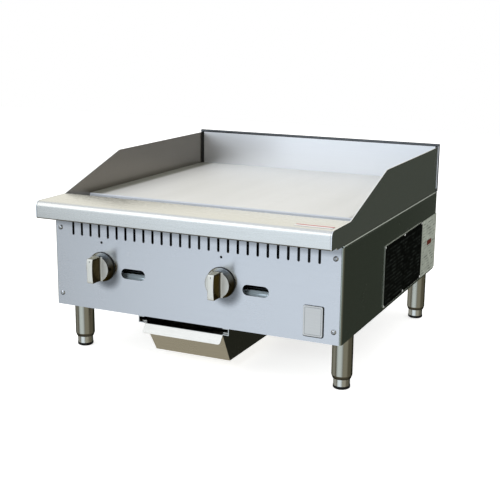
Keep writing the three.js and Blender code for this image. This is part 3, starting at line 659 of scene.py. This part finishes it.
def to_object(name, bm):
    """A smooth-shaded object whose edges stay sharp above 32 degrees."""
    bmesh.ops.recalc_face_normals(bm, faces=bm.faces)
    mesh = bpy.data.meshes.new(name)
    bm.to_mesh(mesh)
    bm.free()
    mesh.shade_smooth()
    mesh.set_sharp_from_angle(angle=math.radians(32))
    obj = bpy.data.objects.new(name, mesh)
    bpy.context.scene.collection.objects.link(obj)
    return obj


def add_ring(bm, outline, place, w):
    return [bm.verts.new(place(u, v, w)) for u, v in outline]


def add_wall(bm, near, far):
    for i in range(len(near)):
        j = (i + 1) % len(near)
        bm.faces.new((near[i], near[j], far[j], far[i]))


def add_prism(bm, outline, place, start, end):
    rings = [add_ring(bm, outline, place, w) for w in (start, end)]
    add_wall(bm, *rings)
    for ring in rings:
        bm.faces.new(ring)


def prism(name, outline, place, start, end):
    """An outline drawn out along a place's depth."""
    bm = bmesh.new()
    add_prism(bm, outline, place, start, end)
    return to_object(name, bm)


def cut_sheet(name, outline, holes, axis, start, end):
    """A flat sheet with holes."""
    bm = bmesh.new()
    faces = []
    for w in (start, end):
        loops = [add_ring(bm, points, AXES[axis], w) for points in (outline, *holes)]
        edges = [bm.edges.new(pair) for ring in loops for pair in zip(ring, ring[1:] + ring[:1])]
        bmesh.ops.triangle_fill(bm, edges=edges, use_beauty=True)
        faces.append(loops)
    for near, far in zip(*faces):
        add_wall(bm, near, far)
    return to_object(name, bm)


def add_lathe(bm, profile, place, segments):
    """Spins (radius, height) points about a place's depth."""
    turn = 2 * math.pi / segments
    rings = []
    for radius, height in profile:
        angles = [k * turn for k in range(segments if radius > 1e-7 else 1)]
        spokes = [(radius * math.cos(angle), radius * math.sin(angle)) for angle in angles]
        rings.append(add_ring(bm, spokes, place, height))
    pairs = list(zip(rings, rings[1:]))
    if len(rings[0]) > 1 and len(rings[-1]) > 1:
        pairs.append((rings[-1], rings[0]))
    for a, b in pairs:
        for k in range(segments):
            corners = [a[k % len(a)], a[(k + 1) % len(a)], b[(k + 1) % len(b)], b[k % len(b)]]
            unique = list(dict.fromkeys(corners))
            if len(unique) > 2:
                bm.faces.new(unique)


def lathe(name, profile, place, segments=96):
    bm = bmesh.new()
    add_lathe(bm, profile, place, segments)
    return to_object(name, bm)


def turned(*corners, base=0.0):
    """A lathe profile from (radius, height, bend radius) corners in millimetres above a base."""
    scaled = [(r * MM, h * MM, radius * MM) for r, h, radius in corners]
    return [(point.x, point.y + base) for point, _ in rounded_path(scaled, False, 6)]


def loft(name, rings):
    bm = bmesh.new()
    made = [[bm.verts.new(point) for point in ring] for ring in rings]
    for near, far in zip(made, made[1:]):
        add_wall(bm, near, far)
    bm.faces.new(made[0])
    bm.faces.new(made[-1])
    return to_object(name, bm)


def tube(name, corners, radius, level):
    """A round pipe along (x, y, bend radius) corners at one height."""
    curve = bpy.data.curves.new(name, "CURVE")
    curve.dimensions = "3D"
    curve.bevel_depth = radius
    curve.bevel_resolution = 12
    curve.use_fill_caps = True
    points = [(point.x, point.y, level) for point, _ in rounded_path(corners, False, 16)]
    spline = curve.splines.new("POLY")
    spline.points.add(len(points) - 1)
    for knot, point in zip(spline.points, points):
        knot.co = (*point, 1)
    source = bpy.data.objects.new(name + "_path", curve)
    mesh = bpy.data.meshes.new_from_object(source)
    bpy.data.objects.remove(source)
    bm = bmesh.new()
    bm.from_mesh(mesh)
    bpy.data.meshes.remove(mesh)
    bmesh.ops.remove_doubles(bm, verts=bm.verts, dist=1e-6)
    return to_object(name, bm)


def soften(obj, width=EDGE, segments=2, limit=40):
    """Breaks the sharp edges, as a deburred sheet has."""
    bevel = obj.modifiers.new("edges", "BEVEL")
    bevel.width = width
    bevel.segments = segments
    bevel.limit_method = "ANGLE"
    bevel.angle_limit = math.radians(limit)
    bevel.harden_normals = True
    return obj


def piece(obj, finish, body="casing", *nodes):
    """Gives the piece its finish and body, and lets it stand for CAD nodes."""
    obj.data.materials.append(finish)
    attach(obj, body)
    if nodes:
        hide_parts(*nodes)
    return obj


# ---------------------------------------------------------------- casing

def front_panel():
    holes = panel_vents()
    for word, _ in SIDES:
        holes += control_holes(word)
    sheet = cut_sheet("front_panel_sheet", PANEL.front(1 * MM), holes, "Y", PANEL.y0, PANEL.y0 + SHEET)
    piece(soften(sheet), casing_steel, "casing", "front_panel")
    half = (PANEL.x1 - PANEL.x0) / 2 - RETURN_INSET
    depth = PANEL.y1 - PANEL.y0 - SHEET
    shelf = rounded_box(PANEL.y1 - depth / 2, PANEL.z0 + SHEET / 2, depth, SHEET, 0.2 * MM, 2)
    shelf = prism("front_panel_return", shelf, AXES["X"], PANEL.x - half, PANEL.x + half)
    piece(shelf, casing_steel)


def panel_vents():
    z = PANEL.z0 + VENT_LIFT + VENT_HEIGHT / 2
    columns = [PANEL.x + (i - (VENT_COUNT - 1) / 2) * VENT_PITCH for i in range(VENT_COUNT)]
    return [rounded_box(x, z, VENT_WIDTH, VENT_HEIGHT, VENT_WIDTH / 2 - ROUND_END) for x in columns]


def control_holes(word):
    """The lighting slot and the shaft, pilot and screw holes of one half of the panel."""
    knob, pilot = Span(f"knob_{word}"), Span(f"pilot_valve_{word}")
    slot = rounded_box(knob.x + SLOT_OFFSET, knob.z - SLOT_DROP, SLOT_WIDTH, SLOT_HEIGHT,
                       SLOT_HEIGHT / 2 - ROUND_END, 16)
    holes = [slot, circle(knob.x, knob.z, SHAFT_HOLE), circle(knob.x, pilot.z1 - PILOT_DEPTH, PILOT_HOLE)]
    for height in ("lower", "upper"):
        screw = Span(f"panel_screw_{height}_{word}")
        holes.append(circle(screw.x, screw.z, SCREW_HOLE))
    return holes


def side_panel(word, side):
    """A wall bent in at the front and rear, with a rolled top edge and two flanges."""
    span = Span(f"{word}_side_panel")
    outer = span.x1 if side > 0 else span.x0

    def inward(outline):
        return [Vector((outer - side * u, v)) for u, v in outline]

    wall = bent_sheet([(FRONT_FLANGE, span.y0, 0), (0, span.y0, SIDE_BEND), (0, span.y1, SIDE_BEND),
                       (REAR_FLANGE, span.y1, 0)], -SHEET)
    wall = prism(f"side_wall_{word}", inward(wall), AXES["Z"], span.z0, span.z1 - HEM)
    piece(soften(wall), side_steel, "casing", f"{word}_side_panel")
    hem = bent_sheet([(0, span.z1 - HEM, 0), (0, span.z1, HEM), (HEM + 3 * MM, span.z1, 0)], -SHEET)
    hem = prism(f"side_hem_{word}", inward(hem), AXES["Y"], span.y0 + 1 * MM, span.y1 - 1 * MM)
    piece(hem, side_steel)
    rear = span.y1 - SIDE_BEND
    top_front = Span("grease_trough").y1 + 3 * MM
    flanges = (("top", TOP_FLANGE, top_front, span.z1 - SHEET),
               ("bottom", BOTTOM_FLANGE, span.y0 + SIDE_BEND, span.z0 + SHEET + GAP))
    for label, reach, front, low in flanges:
        middle = outer - side * (reach + SHEET) / 2
        flange = rounded_box(middle, (front + rear) / 2, reach - SHEET, rear - front, 0.5 * MM, 2)
        flange = prism(f"side_flange_{label}_{word}", flange, AXES["Z"], low, low + SHEET)
        piece(flange, side_steel)


def rear_panel():
    span = Span("rear_panel")
    inlet = Span("gas_inlet_coupling")
    columns = [span.x + (i - (FLUE_COUNT - 1) / 2) * FLUE_PITCH for i in range(FLUE_COUNT)]
    holes = [rounded_box(x, span.z1 - FLUE_DROP, FLUE_WIDTH, FLUE_HEIGHT, FLUE_CORNER) for x in columns]
    holes.append(circle(inlet.x, inlet.z, INLET_HOLE, 48))
    sheet = cut_sheet("rear_sheet", span.front(1 * MM), holes, "Y", span.y0, span.y1)
    piece(soften(sheet), rear_steel, "casing", "rear_panel")


def front_ledge():
    turn_in = 24 * MM
    outline = bent_sheet([
        (LEDGE.y1, LEDGE.z1 - turn_in, 0), (LEDGE.y1, LEDGE.z1, HEM), (LEDGE.y0, LEDGE.z1, BULLNOSE),
        (LEDGE.y0, LEDGE.z0, HEM), (LEDGE.y0 + turn_in, LEDGE.z0, 0)])
    sheet = prism("ledge_sheet", outline, AXES["X"], LEDGE.x0, LEDGE.x1)
    piece(soften(sheet), ledge_steel, "casing", "front_ledge")


def side_splash(word):
    span = Span(f"{word}_splash")
    outline = outline_of([
        (LEDGE.y0 + WING_FOOT_DEPTH, span.z0, 0), (span.y1, span.z0, 0), (span.y1, span.z1, 0),
        (PANEL.y0 + WING_PEAK, span.z1, 8 * MM), (PANEL.y0 + WING_START, LEDGE.z1, 4 * MM),
        (LEDGE.y0, LEDGE.z1, BULLNOSE), (LEDGE.y0, LEDGE.z0, HEM),
        (LEDGE.y0 + WING_NOSE_DEPTH, LEDGE.z0, 0)])
    sheet = cut_sheet(f"splash_sheet_{word}", outline, [], "X", span.x0, span.x1)
    finish = left_wing_steel if word == "left" else right_wing_steel
    piece(soften(sheet), finish, "casing", f"{word}_splash")


def back_splash():
    """A sheet folded back at the top, with a rolled lip and closed ends."""
    span = Span("back_splash")
    proud, cap = 0.8 * MM, 0.4 * MM
    top = span.z1 - 0.2 * MM
    lip_low = span.z1 - LIP_HEIGHT
    outline = bent_sheet([(span.y1, span.z0, 0), (span.y1, top, HEM), (span.y0, top, 4.5 * MM),
                          (span.y0, PLATE.z0, 0)])
    sheet = prism("back_splash_sheet", outline, AXES["X"], span.x0 + cap, span.x1 - cap)
    piece(soften(sheet), splash_steel, "casing", "back_splash")
    # The rolled lip and the end caps are near-black: painted shade along the top bend and at the ends
    roll = outline_of([(span.y0 - proud, lip_low, 0.8 * MM), (span.y1, lip_low, 0.4 * MM),
                       (span.y1, span.z1, 2 * MM), (span.y0 - proud, span.z1, 2 * MM)])
    piece(prism("back_splash_lip", roll, AXES["X"], span.x0, span.x1), lip_steel)
    end = outline_of([(span.y0, span.z0, 0), (span.y1, span.z0, 0), (span.y1, lip_low, 0),
                      (span.y0, lip_low, 0)])
    for word, outer in (("left", span.x0), ("right", span.x1 - cap)):
        piece(prism(f"back_splash_end_{word}", end, AXES["X"], outer, outer + cap), lip_steel)


def corner_shade_bead(word, side):
    """A dark bead where a side splash meets the back splash, as painted shade for that corner."""
    back, wing = Span("back_splash"), Span(f"{word}_splash")
    inner = wing.x1 if side < 0 else wing.x0
    size = 5 * MM
    hollow = 0.3 * size
    bead = [Vector((inner, back.y0)), Vector((inner, back.y0 - size)),
            Vector((inner - side * hollow, back.y0 - hollow)), Vector((inner - side * size, back.y0))]
    bead = prism(f"corner_shade_bead_{word}", bead, AXES["Z"], PLATE.z1, back.z1 - LIP_HEIGHT)
    piece(bead, black_plastic)


# ---------------------------------------------------------------- controls

def knob(word):
    """A cone-shaped skirt with a round face, a standing grip and a plain pointer mark."""
    span = Span(f"knob_{word}")
    body = f"knob_{word}"
    place = forward(span.x, span.y1, span.z)
    skirt = turned((0, 15.2, 0), (23.6, 15.2, 0.3), (23.9, 15.7, 0.2), (24.8, 15.7, 0.5), (25.6, 14, 1),
                   (28.8, 1, 0.5), (28.6, 0, 0.2), (22.4, 0, 0), (22, 10, 0), (0, 10, 0))
    piece(lathe(f"knob_skirt_{word}", skirt, place), knob_metal, body, f"knob_{word}")
    grip = loft(f"knob_grip_{word}", grip_rings(place))
    piece(soften(grip, 0.8 * MM, 3, 50), knob_metal, body)
    mark = rounded_box(0, 18.5 * MM, 0.9 * MM, 3.6 * MM, 0.4 * MM, 4)
    piece(prism(f"knob_pointer_{word}", mark, place, 40 * MM, 41.2 * MM), black_plastic, body)


def grip_rings(place):
    """Sections along the grip: wider, lower and rounded off towards its ends."""
    half_foot, half_base, half_top = 12 * MM, 6.9 * MM, 6.7 * MM
    base = 16 * MM
    section = outline_of([
        (-half_foot, GRIP_FOOT, 0), (half_foot, GRIP_FOOT, 0), (half_base, base, 6 * MM),
        (half_top, GRIP_TOP, 1.2 * MM), (-half_top, GRIP_TOP, 1.2 * MM), (-half_base, base, 6 * MM)])
    steps = 28
    rings = []
    for k in range(steps + 1):
        along = math.sin((k / steps - 0.5) * math.pi)
        crown = 1 - 0.03 * along ** 2 - 0.06 * abs(along) ** 14
        waist = 0.92 + 0.14 * along ** 2 - 0.10 * abs(along) ** 18
        rings.append([place(u * waist, along * GRIP_HALF_LENGTH, GRIP_FOOT + (w - GRIP_FOOT) * crown)
                      for u, w in section])
    return rings


def bezel(word):
    span = Span(f"knob_bezel_{word}")
    ring = turned((6.2, 0, 0), (29.5, 0, 0), (29.5, 1.5, 0.4), (28.9, 2, 0.2), (26, 2, 0.2),
                  (25.5, 1.2, 0.2), (6.2, 1.2, 0))
    ring = lathe(f"bezel_{word}", ring, forward(span.x, span.y1, span.z))
    piece(ring, black_plastic, "casing", f"knob_bezel_{word}")


def cut_cross(obj, place, length, width, low, high):
    """Cuts a cross-shaped driver recess into a screw head."""
    for across, up in ((length, width), (width, length)):
        bm = bmesh.new()
        add_prism(bm, rounded_box(0, 0, across, up, width / 4, 2), place, low, high)
        tool = to_object("driver", bm)
        cut = obj.modifiers.new("recess", "BOOLEAN")
        cut.operation = "DIFFERENCE"
        cut.object = tool
        depsgraph = bpy.context.evaluated_depsgraph_get()
        mesh = bpy.data.meshes.new_from_object(obj.evaluated_get(depsgraph))
        obj.modifiers.clear()
        obj.data = mesh
        bpy.data.objects.remove(tool)


def screw(name, place, *nodes):
    """A domed screw with a cross recess; its depth starts under the head."""
    head = turned((0, 3.1, 0), (1.8, 2.9, 2), (3.6, 2.1, 2), (4.8, 0.8, 0.5), (4.8, 0, 0.1), (1.9, 0, 0),
                  (1.9, -9, 0.4), (0, -10, 0))
    obj = lathe(name, head, place, 48)
    cut_cross(obj, place, 4.6 * MM, 0.95 * MM, 1.4 * MM, 4 * MM)
    piece(obj, screw_steel, "casing", *nodes)


def panel_screws():
    for word, _ in SIDES:
        for height in ("lower", "upper"):
            node = f"panel_screw_{height}_{word}"
            span = Span(node)
            screw(f"screw_{height}_{word}", forward(span.x, PANEL.y0 - GAP, span.z), node)


# ---------------------------------------------------------------- legs and feet

def leg(corner):
    """A tube with a tapered lower end, closed inside, and a stud on top."""
    span = Span(f"leg_{corner}")
    stud = 16
    top = (span.z1 - span.z0) / MM - stud
    tube_wall = turned(
        (0, top - 8, 0), (18, top - 8, 0), (18, 12, 0), (16, 10, 0), (16, 0.6, 0.3), (16.4, 0, 0.3),
        (17.4, 0, 0.8), (19.8, 7, 2.5), (19.8, top, 0.5), (5, top, 0), (5, top + stud, 0.8),
        (0, top + stud, 0), base=span.z0)
    tube_wall = lathe(f"leg_tube_{corner}", tube_wall, upright(span.x, span.y))
    piece(tube_wall, leg_steel, "casing", f"leg_{corner}")


def foot(corner):
    """A steel insert that screws into the leg, on a black glide."""
    span = Span(f"foot_insert_{corner}")
    axis = upright(span.x, span.y)
    insert = turned((0, 3.7, 0), (7, 3.7, 0), (7, 0, 0), (14.9, 0, 0.4), (15.7, 1.4, 0.8),
                    (15.7, 49.7, 0.4), (12, 51.5, 0), (12, 9.7, 0), (0, 9.7, 0), base=span.z0)
    insert = lathe(f"insert_{corner}", insert, axis)
    piece(insert, insert_steel, f"insert_{corner}", f"foot_insert_{corner}")
    glide = turned((0, 0, 0), (14, 0, 0.5), (16.3, 1.8, 1.2), (16.3, 6, 0.15), (15.95, 6, 0),
                   (15.95, 4.1, 0), (6.5, 4.1, 0), (6.5, 7.6, 0.4), (0, 7.6, 0),
                   base=Span(f"foot_glide_{corner}").z0)
    piece(lathe(f"glide_{corner}", glide, axis), glide_plastic, f"foot_{corner}", f"foot_glide_{corner}")


# ---------------------------------------------------------------- plates and labels

def badge():
    """A plain plate on a dark backing that shows at its right and lower edges as a painted shadow."""
    span = Span("badge")
    skin, lip = 0.5 * MM, 1.6 * MM
    shadow_backing = cut_sheet("badge_backing", span.front(3.5 * MM), [], "Y", span.y0 + skin, span.y1)
    piece(soften(shadow_backing, 0.2 * MM), black_plastic, "casing", "badge")
    # The plate sits up and left of the backing, so the dark strip at right and below paints its shadow
    width, height = (size - lip - skin / 2 for size in (span.x1 - span.x0, span.z1 - span.z0))
    x, z = span.x0 + (skin + width) / 2, span.z1 - (skin + height) / 2
    face = rounded_box(x, z, width, height, 3.2 * MM)
    plate = cut_sheet("badge_plate", face, [], "Y", span.y0, span.y0 + skin)
    piece(soften(plate, 0.2 * MM, 3), badge_metal)
    inset, line = 2.8 * MM, 0.5 * MM
    outer = rounded_box(x, z, width - 2 * inset, height - 2 * inset, 2 * MM)
    inner = rounded_box(x, z, width - 2 * (inset + line), height - 2 * (inset + line), 1.5 * MM)
    border = cut_sheet("badge_border", outer, [inner], "Y", span.y0 - 0.12 * MM, span.y0 + 0.2 * MM)
    piece(border, hidden_steel)


def data_plate():
    """A metal plate with a printed face, a raised rim and six rivets."""
    span = Span("data_plate")
    rim, film = 0.9 * MM, 0.12 * MM
    outline, face = span.flank(3 * MM), span.flank(2.2 * MM, rim)
    sheet = cut_sheet("data_plate_sheet", outline, [], "X", span.x0, span.x1 - film)
    piece(soften(sheet, 0.1 * MM), badge_metal, "casing", "data_plate")
    piece(cut_sheet("data_plate_print", face, [], "X", span.x1 - 2 * film, span.x1), plate_black)
    border = cut_sheet("data_plate_rim", outline, [face], "X", span.x1 - film, span.x1 + 0.7 * MM)
    piece(soften(border, 0.3 * MM), side_steel)
    dome = turned((0, 1.3, 0), (1.8, 1.1, 0.6), (2.8, 0.1, 0.4), (2.8, -0.1, 0), (0, -0.1, 0))
    inset = 2.9 * MM
    bm = bmesh.new()
    for y in (span.y0 + inset, span.y, span.y1 - inset):
        for z in (span.z0 + inset, span.z1 - inset):
            add_lathe(bm, dome, rightward(span.x1, y, z), 32)
    piece(to_object("data_plate_rivets", bm), rivet_steel)


def side_label():
    span = Span("side_label")
    sheet = cut_sheet("side_label_sheet", span.flank(2 * MM), [], "X", span.x0, span.x1)
    piece(sheet, label_pale, "casing", "side_label")


# ---------------------------------------------------------------- gas train and rear

def gas_manifold():
    """A pipe that runs behind the panel and turns back to the gas inlet."""
    span, inlet = Span("gas_manifold"), Span("gas_inlet_coupling")
    front = span.y0 + PIPE_INSET
    path = [(span.x0 + 2 * MM, front, 0), (inlet.x, front, PIPE_BEND), (inlet.x, span.y1, 0)]
    piece(tube("manifold_pipe", path, PIPE_RADIUS, span.z), pipe_iron, "casing", "gas_manifold")


def gas_inlet():
    """A threaded pipe coupling."""
    span = Span("gas_inlet_coupling")
    length = (span.y1 - span.y0) / MM
    corners = [(14, 0, 0), (18.2, 0, 0), (19, 0.8, 0.3), (19, 6, 0.2), (18.4, 6.6, 0.2),
               (18.4, length - 6.6, 0.2), (19, length - 6, 0.2), (19, length - 0.8, 0.3),
               (18.2, length, 0), (14.6, length, 0)]
    pitch = 1.2
    for k in range(8):
        crest = length - 0.8 - k * pitch
        corners += [(14.6, crest, 0), (14, crest - pitch / 2, 0)]
    ring = lathe("inlet_coupling", turned(*corners), backward(span.x, span.y0, span.z))
    piece(ring, brass_fittings, "casing", "gas_inlet_coupling")


def rear_screws():
    span = Span("rear_panel")
    pitch = (span.x1 - span.x0 - 2 * REAR_SCREW_INSET) / (REAR_SCREW_COLUMNS - 1)
    for i in range(REAR_SCREW_COLUMNS):
        x = span.x0 + REAR_SCREW_INSET + i * pitch
        for label, z in (("low", span.z0 + REAR_SCREW_EDGE), ("high", span.z1 - REAR_SCREW_EDGE)):
            screw(f"rear_screw_{label}_{i + 1}", backward(x, span.y1 - REAR_SCREW_SINK, z))


# ---------------------------------------------------------------- CAD nodes that stay

def dress_frame():
    """The flat CAD parts keep their meshes and get broken edges."""
    widths = {"griddle_plate": 0.6, "grease_tray": 0.4, "tray_rail_left": 0.3, "tray_rail_right": 0.3,
              "plate_angle_left": 0.6, "plate_angle_right": 0.6, "bottom_pan": 0.3}
    for node, width in widths.items():
        soften(frame["nodes"][node], width * MM)


# ---------------------------------------------------------------- studio

def floor():
    """A pale sheet that glows a little to the camera and stays out of the steel's reflections."""
    half = 4.0
    outline = [Vector(corner) for corner in ((-half, -half), (half, -half), (half, half), (-half, half))]
    obj = prism("floor", outline, AXES["Z"], -0.02, -0.0002)
    finish = Finish("floor_paper")
    paper = finish.noise(40, detail=4.0)
    glow = finish.math("MULTIPLY", finish.add("ShaderNodeLightPath").outputs["Is Camera Ray"], 0.7)
    finish.set(Base_Color=finish.mix(paper, (0.86, 0.86, 0.85, 1), (0.90, 0.90, 0.89, 1)), Roughness=0.9,
               Emission_Color=(1.0, 1.0, 1.0, 1.0), Emission_Strength=glow)
    obj.data.materials.append(finish.material)
    obj.visible_glossy = False


def compass(degrees):
    """A level direction, in degrees from straight out of the front towards the right."""
    angle = math.radians(degrees)
    return (math.sin(angle), -math.cos(angle), 0)


# The studio that the steel reflects. Each patch has a direction, the angles from it where the patch
# starts and where it is full, and a colour. Later patches cover earlier ones.
WALLS = (0.13, 0.12, 0.095)
TALL_PATCHES = (
    (compass(-90), 40, 15, (0.34, 0.34, 0.33)),
    (compass(52), 36, 12, (0.31, 0.30, 0.26)),
    (compass(-153), 50, 18, (0.90, 0.88, 0.80)),
    (compass(161), 31, 9, (0.042, 0.049, 0.039)),
    (compass(-10), 42, 4, (0.80, 0.895, 1.01)),
)
ROUND_PATCHES = (
    ((0, 0, 1), 60, 25, (0.72, 0.76, 0.83)),
    (Vector((0.1, 0.85, 0.52)).normalized(), 30, 12, (0.93, 0.93, 0.90)),
    ((0, 0, -1), 65, 35, (0.42, 0.38, 0.29)),
)
SEEN_BY_DIFFUSE = (0.80, 0.80, 0.80, 1)
SEEN_BY_CAMERA = (1.0, 1.0, 1.0, 1)


def world():
    """The steel reflects the studio; soft surfaces and the camera get plain light from it."""
    studio = bpy.data.worlds.new("studio")
    bpy.context.scene.world = studio
    studio.use_nodes = True
    nodes = Nodes(studio.node_tree)
    direction = nodes.add("ShaderNodeTexCoord").outputs["Generated"]
    level = nodes.vector("MULTIPLY", direction, (1, 1, 0), "Vector")
    bearing = nodes.vector("NORMALIZE", level, output="Vector")
    colour = shade(WALLS)
    for source, patches in ((bearing, TALL_PATCHES), (direction, ROUND_PATCHES)):
        for towards, start, full, patch in patches:
            nearness = nodes.vector("DOT_PRODUCT", source, towards)
            amount = nodes.ramp(nearness, math.cos(math.radians(start)), math.cos(math.radians(full)))
            colour = nodes.mix(amount, colour, shade(patch))
    rays = nodes.add("ShaderNodeLightPath").outputs
    colour = nodes.mix(rays["Is Diffuse Ray"], colour, SEEN_BY_DIFFUSE)
    colour = nodes.mix(rays["Is Camera Ray"], colour, SEEN_BY_CAMERA)
    background = nodes.add("ShaderNodeBackground")
    nodes.feed(background.inputs["Color"], colour)
    output = nodes.add("ShaderNodeOutputWorld")
    nodes.feed(output.inputs["Surface"], background.outputs[0])


def soft_light(name, place, size, power, colour, mirrored=True):
    """A round lamp aimed at the griddle; the steel shows it only when mirrored."""
    lamp = bpy.data.lights.new(name, "AREA")
    lamp.shape = "DISK"
    lamp.size = size
    lamp.energy = power
    lamp.color = colour
    obj = bpy.data.objects.new(name, lamp)
    obj.location = place
    obj.rotation_euler = (Vector(LAMP_TARGET) - Vector(place)).to_track_quat("-Z", "Y").to_euler()
    obj.visible_glossy = mirrored
    bpy.context.scene.collection.objects.link(obj)


def camera():
    az, el, roll = CAMERA_AZIMUTH, CAMERA_ELEVATION, CAMERA_ROLL
    back = Vector((math.sin(az) * math.cos(el), -math.cos(az) * math.cos(el), math.sin(el)))
    level = Vector((math.cos(az), math.sin(az), 0))
    right = level * math.cos(roll) + back.cross(level) * math.sin(roll)
    turn = Matrix((right, back.cross(right), back)).transposed().to_4x4()
    data = bpy.data.cameras.new("camera")
    data.lens = CAMERA_LENS
    obj = bpy.data.objects.new("camera", data)
    obj.matrix_world = Matrix.Translation(Vector(CAMERA_TARGET) + back * CAMERA_DISTANCE) @ turn
    bpy.context.scene.collection.objects.link(obj)
    bpy.context.scene.camera = obj


# ---------------------------------------------------------------- assembly

front_panel()
rear_panel()
front_ledge()
back_splash()
for word, side in SIDES:
    side_panel(word, side)
    side_splash(word)
    corner_shade_bead(word, side)
    knob(word)
    bezel(word)
panel_screws()
for corner in CORNERS:
    leg(corner)
    foot(corner)
badge()
data_plate()
side_label()
gas_manifold()
gas_inlet()
rear_screws()
dress_frame()

floor()
world()
soft_light("key", (-1.35, -1.7, 1.7), 2.2, 10, (0.97, 0.985, 1.0))
soft_light("fill", (0.25, -2.0, 0.92), 0.4, 9, (0.92, 0.97, 1.0), mirrored=False)
camera()

bpy.context.scene.view_settings.view_transform = "Standard"
